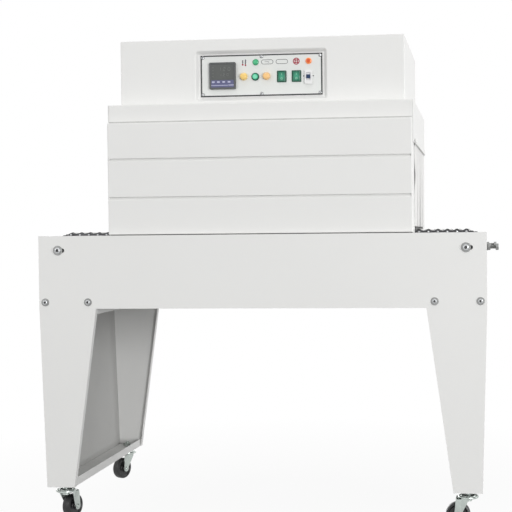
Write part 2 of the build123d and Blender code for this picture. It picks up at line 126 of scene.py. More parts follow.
def sweep_material():
    """White floor whose lit part, with its shadows, fades into plain white away from the machine."""
    material = bpy.data.materials.new("studio_sweep")
    tree = blank_tree(material)
    out = add_node(tree, "OutputMaterial")
    lit = add_node(tree, "BsdfDiffuse", Color=(0.28, 0.28, 0.28, 1))
    plain = add_node(tree, "Emission", Color=(1, 1, 1, 1), Strength=1)
    seen = add_node(tree, "LightPath")
    place = add_node(tree, "TexCoord")
    far = add_node(tree, "VectorMath", operation="LENGTH")
    fade = fill(add_node(tree, "MapRange"), {"From Min": 0.3, "From Max": 1.6, "To Min": 0.94, "To Max": 1})
    direct = add_node(tree, "Math", operation="MULTIPLY")
    mirrored = add_node(tree, "Math", operation="MAXIMUM")
    mix = add_node(tree, "MixShader")
    wire(
        tree,
        (place, "Object", far, 0),
        (far, "Value", fade, "Value"),
        (seen, "Is Camera Ray", mirrored, 0),
        (seen, "Is Glossy Ray", mirrored, 1),
        (fade, "Result", direct, 0),
        (mirrored, "Value", direct, 1),
        (direct, "Value", mix, "Fac"),
        (lit, "BSDF", mix, 1),
        (plain, "Emission", mix, 2),
        (mix, "Shader", out, "Surface"),
    )
    return material


def studio_world():
    """White where it is looked at directly or in a mirror, and a dim even light on everything else."""
    world = bpy.data.worlds.new("studio")
    bpy.context.scene.world = world
    tree = blank_tree(world)
    out = add_node(tree, "OutputWorld")
    glow = add_node(tree, "Background", Color=(1, 1, 0.99, 1), Strength=0.58)
    white = add_node(tree, "Background", Color=(1, 1, 1, 1), Strength=1)
    seen = add_node(tree, "LightPath")
    through = add_node(tree, "Math", operation="MAXIMUM")
    either = add_node(tree, "Math", operation="MAXIMUM")
    mix = add_node(tree, "MixShader")
    wire(
        tree,
        (seen, "Is Camera Ray", through, 0),
        (seen, "Is Transmission Ray", through, 1),
        (through, "Value", either, 0),
        (seen, "Is Glossy Ray", either, 1),
        (either, "Value", mix, "Fac"),
        (glow, "Background", mix, 1),
        (white, "Background", mix, 2),
        (mix, "Shader", out, "Surface"),
    )


floor_mesh = bpy.data.meshes.new("floor")
corners = [(x * FLOOR_HALF, y * FLOOR_HALF, 0) for x, y in ((-1, -1), (1, -1), (1, 1), (-1, 1))]
floor_mesh.from_pydata(corners, [], [(0, 1, 2, 3)])
floor = bpy.data.objects.new("floor", floor_mesh)
bpy.context.collection.objects.link(floor)
floor_mesh.materials.append(sweep_material())
studio_world()
soft_box("lamp_front", (4.2, -6.5, 1.2), 0.7, 2.5, 270)
soft_box("lamp_right", (4.6, 0.9, 2.3), 0.9, 3.0, 80)
soft_box("lamp_left", (-3.5, -4.5, 2.2), 0.8, 2.6, 50)
soft_box("lamp_above", (0.2, -0.8, 3.6), 0.8, 2.6, 15)
soft_box("lamp_back", (-2.8, 4.8, 1.3), 0.8, 2.3, 100)
bpy.context.scene.view_settings.view_transform = "Standard"


# Skirts and legs
# Each long side is one sheet of 2 mm steel with its two tapering legs, folded back round the bay and
# powder coated off-white. Two screws near each leg's root fix the cross rail behind.
MACHINE = "table_and_tunnel"
PAINT = (0.775, 0.775, 0.765)
SHEET_EASE = 0.7 * MM
SMOOTH_UP_TO = math.radians(32)
FLAT_UP_TO = math.radians(0.5)
EASED_FROM = math.radians(35)
GRAIN_DEPTH = 0.0006


def group_of(name, sockets_in, colours_out, numbers_out=()):
    """An empty shader node group, its inputs colours or numbers by their first values."""
    tree = bpy.data.node_groups.new(name, "ShaderNodeTree")
    for label, value in sockets_in.items():
        kind = "NodeSocketColor" if isinstance(value, tuple) else "NodeSocketFloat"
        tree.interface.new_socket(label, in_out="INPUT", socket_type=kind).default_value = value
    for labels, kind in ((colours_out, "NodeSocketColor"), (numbers_out, "NodeSocketFloat")):
        for label in labels:
            tree.interface.new_socket(label, in_out="OUTPUT", socket_type=kind)
    return tree, tree.nodes.new("NodeGroupInput"), tree.nodes.new("NodeGroupOutput")


def skin_group():
    """Fine unevenness of a coat or moulding: a height for Bump, a tone and a mottled roughness."""
    wanted = {"Colour": (0.8, 0.8, 0.8, 1), "Shade": (0.7, 0.7, 0.7, 1), "Fine": 900, "Broad": 3}
    wanted.update({"Roughness": 0.4, "Spread": 0.1})
    tree, start, end = group_of("surface_skin", wanted, ["Colour"], ["Roughness", "Height"])
    place = add_node(tree, "TexCoord")
    fine = add_node(tree, "TexNoise", Detail=2)
    broad = add_node(tree, "TexNoise", Detail=5)
    share = fill(add_node(tree, "MapRange"), {"From Min": 0.35, "From Max": 0.75})
    tone = add_node(tree, "Mix", data_type="RGBA")
    around = fill(add_node(tree, "Math", operation="SUBTRACT"), {1: 0.5})
    scaled = add_node(tree, "Math", operation="MULTIPLY")
    rough = add_node(tree, "Math", operation="ADD", use_clamp=True)
    wire(
        tree,
        (place, "Object", fine, "Vector"),
        (place, "Object", broad, "Vector"),
        (start, "Fine", fine, "Scale"),
        (start, "Broad", broad, "Scale"),
        (broad, "Fac", share, "Value"),
        (share, "Result", tone, "Factor"),
        (start, "Colour", tone, "A"),
        (start, "Shade", tone, "B"),
        (tone, "Result", end, "Colour"),
        (broad, "Fac", around, 0),
        (around, "Value", scaled, 0),
        (start, "Spread", scaled, 1),
        (start, "Roughness", rough, 0),
        (scaled, "Value", rough, 1),
        (rough, "Value", end, "Roughness"),
        (fine, "Fac", end, "Height"),
    )
    return tree


SKIN = skin_group()


def shader_of(material):
    """A material's main shader."""
    return material.node_tree.nodes["Principled BSDF"]


def coat(name, colour, shade=0.96, fine=900, broad=3, rough=0.4, spread=0.12, bump=0.15, metal=0, clear=0):
    """A finish from the shared skin: paint, plating or moulded plastic, by its values."""
    material = bpy.data.materials.new(name)
    material.use_nodes = True
    tree = material.node_tree
    shader = fill(shader_of(material), {"Metallic": metal, "Coat Weight": clear})
    skin = add_node(tree, "Group", node_tree=SKIN, Fine=fine, Broad=broad, Roughness=rough, Spread=spread)
    fill(skin, {"Colour": (*colour, 1), "Shade": (*(channel * shade for channel in colour), 1)})
    raised = add_node(tree, "Bump", Strength=bump, Distance=GRAIN_DEPTH)
    wire(
        tree,
        (skin, "Colour", shader, "Base Color"),
        (skin, "Roughness", shader, "Roughness"),
        (skin, "Height", raised, "Height"),
        (raised, "Normal", shader, "Normal"),
    )
    return material


def dress(node, material):
    """Gives a CAD node its finish."""
    mesh = cad[node].data
    mesh.materials.clear()
    mesh.materials.append(material)


def place_piece(name, shape, material, body=MACHINE, stands_for=None):
    """Turns a bmesh into a piece with its finish, riding on a body and standing for a CAD node."""
    mesh = bpy.data.meshes.new(name)
    bmesh.ops.recalc_face_normals(shape, faces=shape.faces)
    shape.to_mesh(mesh)
    shape.free()
    mesh.shade_smooth()
    mesh.set_sharp_from_angle(angle=SMOOTH_UP_TO)
    mesh.materials.append(material)
    piece = bpy.data.objects.new(name, mesh)
    bpy.context.collection.objects.link(piece)
    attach(piece, body)
    if stands_for:
        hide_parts(stands_for)
    return piece


def keep_flat(piece):
    """Lets a sheet's large faces shade as flat, so that only its folds and edges catch the light."""
    even = piece.modifiers.new("flat_faces", "WEIGHTED_NORMAL")
    even.keep_sharp = True
    even.weight = 100
    return piece


def ease_edges(shape, edges, width, steps):
    """Rounds edges over a width."""
    bmesh.ops.bevel(
        shape, geom=edges, offset=width, segments=steps, profile=0.5, affect="EDGES", clamp_overlap=True
    )


def eased(node, name, width, material, steps=2):
    """The same piece as a CAD node, with its sharp edges eased as bending and grinding leave them."""
    shape = bmesh.new()
    shape.from_mesh(cad[node].data)
    bmesh.ops.remove_doubles(shape, verts=shape.verts, dist=0.01 * MM)
    bmesh.ops.dissolve_limit(shape, angle_limit=FLAT_UP_TO, verts=shape.verts, edges=shape.edges)
    sharp = [e for e in shape.edges if len(e.link_faces) == 2 and e.calc_face_angle() > EASED_FROM]
    ease_edges(shape, sharp, width, steps)
    return keep_flat(place_piece(name, shape, material, stands_for=node))


table_paint = coat("table_paint", PAINT, shade=0.975, fine=700, broad=2.2, rough=0.42, bump=0.12)
eased("front_skirt", "front_skirt_sheet", SHEET_EASE, table_paint)
eased("rear_skirt", "rear_skirt_sheet", SHEET_EASE, table_paint)


# End panels, foot channels, cross rails and deck strips
# All are folded from the same sheet and coated with the skirts, the end panels thinner. The end panels' inner
# faces are a darker, duller grey, and their darkness is painted shade for the shadow inside the table. They
# close the legs' sides, the foot channels take the casters, and the cross rails and deck strips tie the two
# long sides together.
THIN_EASE = 0.5 * MM

for node in ("foot_channels", "cross_rails", "deck_strips"):
    eased(node, node + "_sheet", THIN_EASE, table_paint, steps=1)
# Darker grey on the end panels' inner faces: painted shade for the shadow inside the table.
inner_shade_paint = coat("inner_shade_paint", (0.56, 0.56, 0.55), shade=0.9, fine=700, rough=0.62, bump=0.2)
fill(shader_of(inner_shade_paint), {"Specular IOR Level": 0.25})
for node, outward in (("left_end_panel", -1), ("right_end_panel", 1)):
    panel = eased(node, node + "_sheet", THIN_EASE, table_paint, steps=1)
    panel.data.materials.append(inner_shade_paint)
    for face in panel.data.polygons:
        if face.normal.x * outward < -0.5:
            face.material_index = 1


# Screws and washers of the table
# Button-head screws with a flat washer, zinc plated, with a hexagon socket. Two by each leg's root fix the
# cross rails, and a larger one in each skirt slot holds the end of a conveyor shaft, with a coated strip that
# closes the free end of the slot behind it.
ZINC = (0.5, 0.51, 0.52)
WASHER_THICKNESS = 1.6 * MM
SOCKET_SHARE = 0.44
SHAFT_RADIUS = 10 * MM
ROOT_SCREW_Z = 596.5 * MM
ROOT_SCREW_INSETS = (17 * MM, 135.5 * MM)
ROOT_WASHER, ROOT_HEAD, ROOT_HEAD_HEIGHT, ROOT_HOLE = 10.5 * MM, 7 * MM, 4.4 * MM, 3 * MM
SHAFT_WASHER, SHAFT_HEAD, SHAFT_HEAD_HEIGHT, SHAFT_HOLE = 13 * MM, 9 * MM, 5.5 * MM, 5 * MM
SLOT_CENTRE, SLOT_RADIUS, CLOSER_END = 12, 5.7, 7
CLOSER_BACK, CLOSER_FRONT = -1.8, -0.4


def ring_of(shape, where, points, level, unit=MM):
    """A ring of corners from flat points at one level, placed by a transform; unit is theirs in metres."""
    return [shape.verts.new(where @ (Vector((x, y, level)) * unit)) for x, y in points]


def loft(shape, rings, closed=True):
    """Faces from each ring of corners to the next, and over the first and last ring where it is closed."""
    for low, high in zip(rings, rings[1:]):
        for i in range(len(low)):
            j = (i + 1) % len(low)
            shape.faces.new((low[i], low[j], high[j], high[i]))
    if closed:
        shape.faces.new(list(reversed(rings[0])))
        shape.faces.new(rings[-1])


def turned(shape, profile, where, sides=24, closed=True):
    """A lathe-turned form from (radius, height) or (radius, height, corners) steps, in metres."""
    rings = []
    for radius, height, *corners in profile:
        points = []
        for i in range(sides):
            angle = 2 * math.pi * i / sides
            reach = radius
            if corners:
                wedge = math.pi / corners[0]
                reach = radius / math.cos((angle % (2 * wedge)) - wedge)
            points.append((reach * math.cos(angle), reach * math.sin(angle)))
        rings.append(ring_of(shape, where, points, height, unit=1))
    loft(shape, rings, closed)


def in_mm(profile):
    """A turned profile in metres, from one in millimetres."""
    return [(radius * MM, height * MM, *corners) for radius, height, *corners in profile]


def prism(shape, where, outline, low, high):
    """A flat plate with an outline in its own X and Y, from one level to another, in millimetres."""
    loft(shape, [ring_of(shape, where, outline, level) for level in (low, high)])


def arc(x, y, radius, start, end, steps):
    """Points along an arc, in degrees."""
    angles = [math.radians(start + (end - start) * i / steps) for i in range(steps + 1)]
    return [(x + radius * math.cos(a), y + radius * math.sin(a)) for a in angles]


def facing(place, direction, spin=0.0):
    """A transform whose +Z points along a direction, at a place."""
    turn = Vector(direction).to_track_quat("Z", "Y").to_matrix().to_4x4()
    return Matrix.Translation(place) @ turn @ Matrix.Rotation(spin, 4, "Z")


def lift(where, height):
    """The same transform, moved along its own Z."""
    return where @ Matrix.Translation((0, 0, height))


def washer(shape, where, radius, hole):
    """A flat washer lying on a surface."""
    top, soft = WASHER_THICKNESS, 0.3 * MM
    edge = radius - soft
    profile = [(hole, 0), (edge, 0), (radius, soft), (radius, top - soft), (edge, top), (hole, top)]
    turned(shape, profile, where, sides=32, closed=False)


def socket_screw(shape, dark, where, radius, height):
    """A button-head screw with a hexagon socket holding a dark disc of painted shade, its seat at the
    transform's origin.
    """
    socket = radius * SOCKET_SHARE
    turned(dark, [(socket, 0.5 * height, 6), (0.2 * socket, 0.45 * height, 6)], where)
    dome = ((1, 0), (1, 0.25), (0.93, 0.55), (0.78, 0.85), (0.6, 1))
    profile = [(across * radius, up * height) for across, up in dome]
    profile += [(1.12 * socket, height), (socket, 0.94 * height, 6), (socket, 0.25 * height, 6)]
    turned(shape, profile + [(0.2 * socket, 0.2 * height)], where)


dull_zinc = coat(
    "dull_zinc", (0.3, 0.305, 0.3), shade=0.75, fine=1600, broad=30, rough=0.36, spread=0.2, metal=1.0
)
zinc_plate = coat(
    "zinc_plate", ZINC, shade=0.88, fine=1600, broad=30, rough=0.3, spread=0.2, bump=0.1, metal=1.0
)
socket_shade = coat("socket_shade", (0.05, 0.05, 0.05), shade=0.7, fine=1500, broad=60, rough=0.6, bump=0.2)
skirt_low, skirt_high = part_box("front_skirt")
skirt_front, skirt_end = skirt_low[1], skirt_high[0]
skirt_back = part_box("rear_skirt")[1][1]
shaft_low, shaft_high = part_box("shafts")
SHAFT_X = shaft_high[0] - SHAFT_RADIUS
SHAFT_Z = (shaft_low[2] + shaft_high[2]) / 2
heads, washers, socket_shade_discs, closers = bmesh.new(), bmesh.new(), bmesh.new(), bmesh.new()
closer = arc(-SLOT_CENTRE, 0, SLOT_RADIUS, 90, 270, 12)
closer += [(-CLOSER_END, -SLOT_RADIUS), (-CLOSER_END, SLOT_RADIUS)]
for face, outward in ((skirt_front, (0, -1, 0)), (skirt_back, (0, 1, 0))):
    for side in (-1, 1):
        for inset in ROOT_SCREW_INSETS:
            seat = facing((side * (skirt_end - inset), face, ROOT_SCREW_Z), outward, spin=0.4 * inset / MM)
            washer(washers, seat, ROOT_WASHER, ROOT_HOLE)
            socket_screw(heads, socket_shade_discs, lift(seat, WASHER_THICKNESS), ROOT_HEAD, ROOT_HEAD_HEIGHT)
        slot = (side * SHAFT_X, face, SHAFT_Z)
        seat = facing(slot, outward, spin=0.3 * side)
        washer(washers, seat, SHAFT_WASHER, SHAFT_HOLE)
        prism(closers, facing(slot, outward), closer, CLOSER_BACK, CLOSER_FRONT)
        socket_screw(heads, socket_shade_discs, lift(seat, WASHER_THICKNESS), SHAFT_HEAD, SHAFT_HEAD_HEIGHT)
place_piece("table_screws", heads, zinc_plate)
place_piece("slot_closers", closers, table_paint)
place_piece("table_washers", washers, dull_zinc)
# Dark discs down in the screws' sockets: painted shade.
place_piece("table_screw_socket_shade", socket_shade_discs, socket_shade)


# Take-up at the right end
# Two screws run from the blocks on the right shaft through the end panel, and tension the chains. Each has a
# washer, a nut and a lock nut outside, on a thread of about ten millimetres.
THREAD_RADIUS, THREAD_PITCH, THREAD_DEPTH = 5 * MM, 1.5 * MM, 0.55 * MM
NUT_RADIUS, NUT_HEIGHT = 8.5 * MM, 8 * MM
TAKE_UP_REACH = 31 * MM
TAKE_UP_INSET = 12 * MM
TAKE_UP_WASHER = 10 * MM


def nut(shape, where, radius, height, hole):
    """A hexagon nut with chamfered corners, open over its hole."""
    chamfer = 0.12 * height
    profile = [(hole, 0), (0.93 * radius, 0), (radius, chamfer, 6), (radius, height - chamfer, 6)]
    profile += [(0.93 * radius, height), (hole, height)]
    turned(shape, profile, where, sides=36, closed=False)


def threaded_rod(shape, where, radius, length):
    """A screw thread, cut as close rings."""
    turns = int(length / THREAD_PITCH)
    profile = []
    for i in range(turns):
        profile.append((radius - THREAD_DEPTH, i * THREAD_PITCH))
        profile.append((radius, (i + 0.5) * THREAD_PITCH))
    profile.append((radius - THREAD_DEPTH, turns * THREAD_PITCH))
    turned(shape, profile, where)


take_up_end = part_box("take_up_blocks")[1]
TAKE_UP_Y = take_up_end[1] - TAKE_UP_INSET
TAKE_UP_INSIDE = skirt_end - take_up_end[0]
take_up = bmesh.new()
for y in (-TAKE_UP_Y, TAKE_UP_Y):
    seat = facing((skirt_end, y, SHAFT_Z), (1, 0, 0))
    washer(take_up, seat, TAKE_UP_WASHER, THREAD_RADIUS)
    nut(take_up, lift(seat, WASHER_THICKNESS), NUT_RADIUS, NUT_HEIGHT, THREAD_RADIUS)
    rod_length = TAKE_UP_REACH + TAKE_UP_INSIDE - 2 * MM
    threaded_rod(take_up, lift(seat, -TAKE_UP_INSIDE), THREAD_RADIUS, rod_length)
    nut(take_up, lift(seat, TAKE_UP_REACH - NUT_HEIGHT), NUT_RADIUS, NUT_HEIGHT, THREAD_RADIUS)
place_piece("take_up_screws", take_up, dull_zinc)
bare_steel = coat(
    "bare_steel", (0.42, 0.42, 0.43), shade=0.8, fine=500, broad=12, rough=0.38, bump=0.2, metal=1.0
)
for node in ("take_up_blocks", "shafts", "chain_rails"):
    dress(node, bare_steel)


# Chains
# Two loops of double pitch roller chain, of darkened steel. Every link has two side plates, wide at the pins
# and narrow between them, and the plates of neighbouring links lie inside and outside each other in turn.
PITCH = 25.4 * MM
TOP_LINKS = 43
TEETH = 10
PITCH_RADIUS = PITCH / (2 * math.sin(math.pi / TEETH))
CHAIN_Y = 221 * MM
PLATE_HEIGHT, PLATE_WAIST, PLATE_THICKNESS, PLATE_PLAY = 12 * MM, 7.2 * MM, 1.5 * MM, 0.1 * MM
CHAIN_INSIDE = 8 * MM
BUSH_RADIUS = 4 * MM
PIN_RADIUS, PIN_HEAD = 2 * MM, 2.6 * MM
OIL_BLACK = (0.1, 0.1, 0.105)


def chain_pins():
    """Every pin of one loop as (x, z), in order: top run, right wrap, bottom run, left wrap."""
    top = [(i * PITCH - SHAFT_X, SHAFT_Z + PITCH_RADIUS) for i in range(TOP_LINKS + 1)]
    step = 2 * math.pi / TEETH
    angles = [math.pi / 2 - i * step for i in range(1, TEETH // 2)]
    right = [(SHAFT_X + PITCH_RADIUS * math.cos(a), SHAFT_Z + PITCH_RADIUS * math.sin(a)) for a in angles]
    return top + right + [(-x, 2 * SHAFT_Z - z) for x, z in top + right]


def side_plate(shape, pins, y_low, y_high):
    """One waisted plate between two pins, filling from y_low to y_high."""
    start, end = [Vector((x, 0, z)) for x, z in pins]
    along = (end - start).normalized()
    across = Vector((-along.z, 0, along.x))
    outline = []
    for centre, way in ((start, -1), (end, 1)):
        for x, y in arc(0, 0, PLATE_HEIGHT / 2, -100, 100, 8):
            outline.append(centre + way * (along * x + across * y))
        outline.append(centre - way * along * PITCH / 2 + way * across * PLATE_WAIST / 2)
    loft(shape, [[shape.verts.new((p.x, y, p.z)) for p in outline] for y in (y_low, y_high)])


def chain_loop(side):
    """The plates and bushes of one chain, on one side of the conveyor, and its riveted pins."""
    shape, rivets = bmesh.new(), bmesh.new()
    pins = chain_pins()
    centre = side * CHAIN_Y
    half = CHAIN_INSIDE / 2
    outside = half + 2 * PLATE_THICKNESS
    head = [(PIN_RADIUS, outside), (PIN_HEAD, outside), (PIN_HEAD, outside + 0.5 * MM)]
    head.append((0.5 * PIN_HEAD, outside + 0.9 * MM))
    for i, pin in enumerate(pins):
        inset = half + (PLATE_THICKNESS if i % 2 else 0)
        for way in (-1, 1):
            near = centre + way * inset
            far = centre + way * (inset + PLATE_THICKNESS - PLATE_PLAY)
            side_plate(shape, (pin, pins[(i + 1) % len(pins)]), min(near, far), max(near, far))
        across = facing((pin[0], centre, pin[1]), (0, 1, 0))
        turned(shape, [(BUSH_RADIUS, -half), (BUSH_RADIUS, half)], across, sides=16, closed=False)
        turned(rivets, [(r, -h) for r, h in reversed(head)] + head, across, sides=14)
    return shape, rivets


chain_steel = coat(
    "chain_steel", OIL_BLACK, shade=0.6, broad=40, rough=0.36, spread=0.3, bump=0.2, metal=0.9
)
for node, side in (("front_chain", -1), ("rear_chain", 1)):
    links, rivets = chain_loop(side)
    place_piece(node + "_links", links, chain_steel, stands_for=node)
    place_piece(node + "_pins", rivets, zinc_plate)


# Sprockets
# Four ten-tooth sprockets turn on the shafts, cut from steel plate with a hub welded on, and their teeth
# stand in the gaps between the chains' bushes.
TOOTH_TIP = 46 * MM
SPROCKET_THICKNESS = 7 * MM
HUB_RADIUS = 19 * MM
HUB_REACH = 14 * MM


def sprocket(shape, x, y, inward):
    """One sprocket, with the hub on its inward side."""
    half_gap = math.asin(BUSH_RADIUS / PITCH_RADIUS)
    shoulder, shoulder_radius = 1.45 * half_gap, PITCH_RADIUS + 2.2 * MM
    outline = []
    for tooth in range(TEETH):
        base = math.pi / 2 + 2 * math.pi * tooth / TEETH
        for i in range(7):
            swing = math.pi * i / 6
            outline.append((base - half_gap * math.cos(swing), PITCH_RADIUS - BUSH_RADIUS * math.sin(swing)))
        outline.append((base + shoulder, shoulder_radius))
        outline.append((base + math.pi / TEETH, TOOTH_TIP))
        outline.append((base + 2 * math.pi / TEETH - shoulder, shoulder_radius))
    points = [(x + radius * math.cos(angle), SHAFT_Z + radius * math.sin(angle)) for angle, radius in outline]
    half = SPROCKET_THICKNESS / 2
    loft(shape, [[shape.verts.new((px, level, pz)) for px, pz in points] for level in (y - half, y + half)])
    hub = [(HUB_RADIUS, half), (HUB_RADIUS, half + HUB_REACH - MM), (HUB_RADIUS - MM, half + HUB_REACH)]
    hub.append((SHAFT_RADIUS, half + HUB_REACH))
    turned(shape, hub, facing((x, y, SHAFT_Z), (0, inward, 0)), sides=32, closed=False)


wheels = bmesh.new()
for x in (-SHAFT_X, SHAFT_X):
    for side in (-1, 1):
        sprocket(wheels, x, side * CHAIN_Y, -side)
place_piece("sprocket_wheels", wheels, chain_steel, stands_for="sprockets")


# Carrying rollers
# A slim steel tube turns on a long pin between the chains at every pitch, zinc plated and worn bright where
# the packs ride. Its ends are rolled in round the pin and wear a moulded collar whose near-black colour is
# painted shade, for the shadowed ring round each roller's end.
ROLLER_RADIUS = 7 * MM
ROLLER_END = 213.2 * MM
ROLLER_SKIN = (0.7, 0.7, 0.69)
COLLAR = [(5.2, -3), (7.5, -3), (7.9, -2.5), (7.9, -0.4), (7.5, 0), (5.2, 0), (5.2, -3)]


def moulded(name, colour, rough, shade=0.8, broad=60, bump=0.1, clear=0):
    """Moulded plastic or a printed foil, with a fine grain."""
    return coat(name, colour, shade=shade, fine=1500, broad=broad, rough=rough, bump=bump, clear=clear)


rollers, collars = bmesh.new(), bmesh.new()
rolled = [(PIN_RADIUS, ROLLER_END), (0.72 * ROLLER_RADIUS, ROLLER_END)]
rolled += [(0.93 * ROLLER_RADIUS, ROLLER_END - 0.5 * MM), (ROLLER_RADIUS, ROLLER_END - 1.6 * MM)]
tube = [(r, -h) for r, h in rolled] + rolled[::-1]
for x, z in chain_pins():
    turned(rollers, tube, facing((x, 0, z), (0, 1, 0)), sides=20)
    for way in (-1, 1):
        turned(collars, in_mm(COLLAR), facing((x, way * ROLLER_END, z), (0, way, 0)), sides=20, closed=False)
roller_tube = coat(
    "roller_tube", ROLLER_SKIN, shade=0.82, fine=1200, broad=25, rough=0.32, spread=0.25, metal=0.85
)
# Near-black collars: painted shade for the shadowed ring round each roller's end.
collar_painted_shade = moulded("collar_painted_shade", (0.045, 0.047, 0.045), 0.45, shade=0.7, broad=40, bump=0.15)
place_piece("carrying_tubes", rollers, roller_tube, stands_for="carrying_rollers")
place_piece("carrying_tube_collars", collars, collar_painted_shade)


# Tunnel walls, roof and end headers
# Insulated double-skinned walls and roof over the conveyor, powder coated like the table. A flat header
# closes each end above the passage.
tunnel_paint = coat("tunnel_paint", PAINT, shade=0.98, fine=700, broad=2, rough=0.38, bump=0.12)
for node in ("tunnel_front_wall", "tunnel_rear_wall"):
    eased(node, node + "_skin", 0.8 * MM, tunnel_paint)
eased("tunnel_roof", "tunnel_roof_skin", 2 * MM, tunnel_paint, steps=3)
eased("end_headers", "end_header_sheets", 0.6 * MM, tunnel_paint, steps=1)


# Claddings
# A pressed outer panel on each long side of the tunnel, with two swaged grooves along it, square above and
# sloping out below, that stop short of its folded ends. A grey strip in the joint above it and a near-black
# one in the joint below are painted shade, for the shadow lines in these joints.
CLADDING_FOLD = 3 * MM
GROOVE_TOPS = (981 * MM, 878 * MM)
GROOVE_HEIGHT, GROOVE_DEPTH, GROOVE_END, GROOVE_RUN = 9 * MM, 6.5 * MM, 3.5 * MM, 1.5 * MM
GROOVE_STEP = 1 / 14
JOINT_STRIP_BACK = 15 * MM
JOINT_STRIP_HEIGHT, JOINT_STRIP_THICKNESS, JOINT_STRIP_INSET = 5 * MM, 0.9 * MM, 2 * MM


def cladding_depth(z, low, high):
    """How far the skin lies behind its front plane at a height, and how far a groove presses it in."""
    edge = min(z - low, high - z)
    rolled = CLADDING_FOLD - math.sqrt(max(0, CLADDING_FOLD ** 2 - max(0, CLADDING_FOLD - edge) ** 2))
    for top in GROOVE_TOPS:
        below = (top - z) / GROOVE_HEIGHT
        if 0 <= below <= 1:
            slope = 1 - max(0, below - GROOVE_STEP) / (1 - GROOVE_STEP)
            return rolled, GROOVE_DEPTH * min(1, below / GROOVE_STEP) * slope
    return rolled, 0


def cladding_panel(node, way):
    """One cladding as a pressed skin with folded edges, its front towards way along Y."""
    low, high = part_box(node)
    front, back = (low[1], high[1]) if way < 0 else (high[1], low[1])
    corner = [CLADDING_FOLD * (1 - math.cos(math.radians(22.5 * i))) for i in range(5)]
    heights = [low[2] + step for step in corner] + [high[2] - step for step in corner]
    for top in GROOVE_TOPS:
        heights += [top + 0.5 * MM, top, top - GROOVE_HEIGHT - 0.7 * MM]
        heights += [top - GROOVE_HEIGHT * share for share in (GROOVE_STEP, 0.2, 0.45, 0.7, 1)]
    stations = []
    for i, step in enumerate(corner):
        stations.append((low[0] + step, CLADDING_FOLD * (1 - math.sin(math.radians(22.5 * i))), 0))
    stations += [(low[0] + GROOVE_END, 0, 0), (low[0] + GROOVE_END + GROOVE_RUN, 0, 1)]
    stations += [(low[0] + high[0] - x, roll, pressed) for x, roll, pressed in reversed(stations)]
    shape = bmesh.new()
    columns = []
    for x, roll, pressed in stations:
        column = []
        for z in sorted(heights):
            rolled, groove = cladding_depth(z, low[2], high[2])
            column.append(shape.verts.new((x, front - way * (max(roll, rolled) + groove * pressed), z)))
        column += [shape.verts.new((x, back, z)) for z in (high[2], low[2])]
        columns.append(column)
    loft(shape, columns)
    keep_flat(place_piece(node + "_panel", shape, tunnel_paint, stands_for=node))
    middle = front - way * (JOINT_STRIP_BACK + JOINT_STRIP_THICKNESS / 2)
    size = (high[0] - low[0] - 2 * JOINT_STRIP_INSET, JOINT_STRIP_THICKNESS, JOINT_STRIP_HEIGHT)
    # The foot and head strips are painted shade: dark and grey strips laid in the joints for their shadow
    # lines.
    for end, z, rubber in (("foot", low[2] - 2 * MM, dark_joint_shade), ("head", high[2] - 0.5 * MM, grey_joint_shade)):
        seal = bmesh.new()
        place = Matrix.Translation(((low[0] + high[0]) / 2, middle, z + JOINT_STRIP_HEIGHT / 2))
        bmesh.ops.create_cube(seal, size=1, matrix=place @ Matrix.Diagonal((*size, 1)))
        place_piece(f"{node}_{end}_seal", seal, rubber)


# Colours of the joint strips: painted shade.
dark_joint_shade = coat("dark_joint_shade", (0.16, 0.16, 0.16), shade=0.7, fine=1200, broad=40, rough=0.6, bump=0.3)
grey_joint_shade = coat("grey_joint_shade", (0.5, 0.5, 0.49), shade=0.85, fine=1200, broad=40, rough=0.6, bump=0.3)
cladding_panel("front_cladding", -1)
cladding_panel("rear_cladding", 1)


# Curtains
# Strips of white coated glass cloth hang in both ends of the tunnel and keep the heat in. They are clamped
# under a flat bar with a round lug at each end, and the outer strips lean on the tunnel's end.
CURTAIN_TONE = (0.78, 0.775, 0.765)
WEAVE = 420.0
STRIPS = 15
SLIT = 2 * MM
STRIP_COLUMNS, STRIP_ROWS = 6, 22
SWAY, CURL, TWIST = 0.5 * MM, 0.2 * MM, 0.3 * MM
EDGE_TUCK, EDGE_GAP = 2.2 * MM, 0.42
LUG_INSET, LUG_OUTSET = 4 * MM, 3 * MM


def curtain_cloth():
    """Coated glass cloth: a fine plain weave under a smooth coat."""
    material = coat("curtain_cloth", CURTAIN_TONE, shade=0.95, fine=600, broad=14, rough=0.45, bump=0.1)
    tree = material.node_tree
    place = add_node(tree, "TexCoord")
    warp = add_node(tree, "TexWave", Scale=WEAVE, wave_type="BANDS", bands_direction="Z")
    weft = add_node(tree, "TexWave", Scale=WEAVE, wave_type="BANDS", bands_direction="Y")
    both = add_node(tree, "Math", operation="MULTIPLY")
    raised = add_node(tree, "Bump", Strength=0.25, Distance=0.0004)
    wire(
        tree,
        (place, "Object", warp, "Vector"),
        (place, "Object", weft, "Vector"),
        (warp, "Fac", both, 0),
        (weft, "Fac", both, 1),
        (both, "Value", raised, "Height"),
        (raised, "Normal", shader_of(material), "Normal"),
    )
    return material


def sheet_faces(shape, rows):
    """Faces between neighbouring rows of corners."""
    for row, following in zip(rows, rows[1:]):
        for i in range(len(row) - 1):
            shape.faces.new((row[i], row[i + 1], following[i + 1], following[i]))


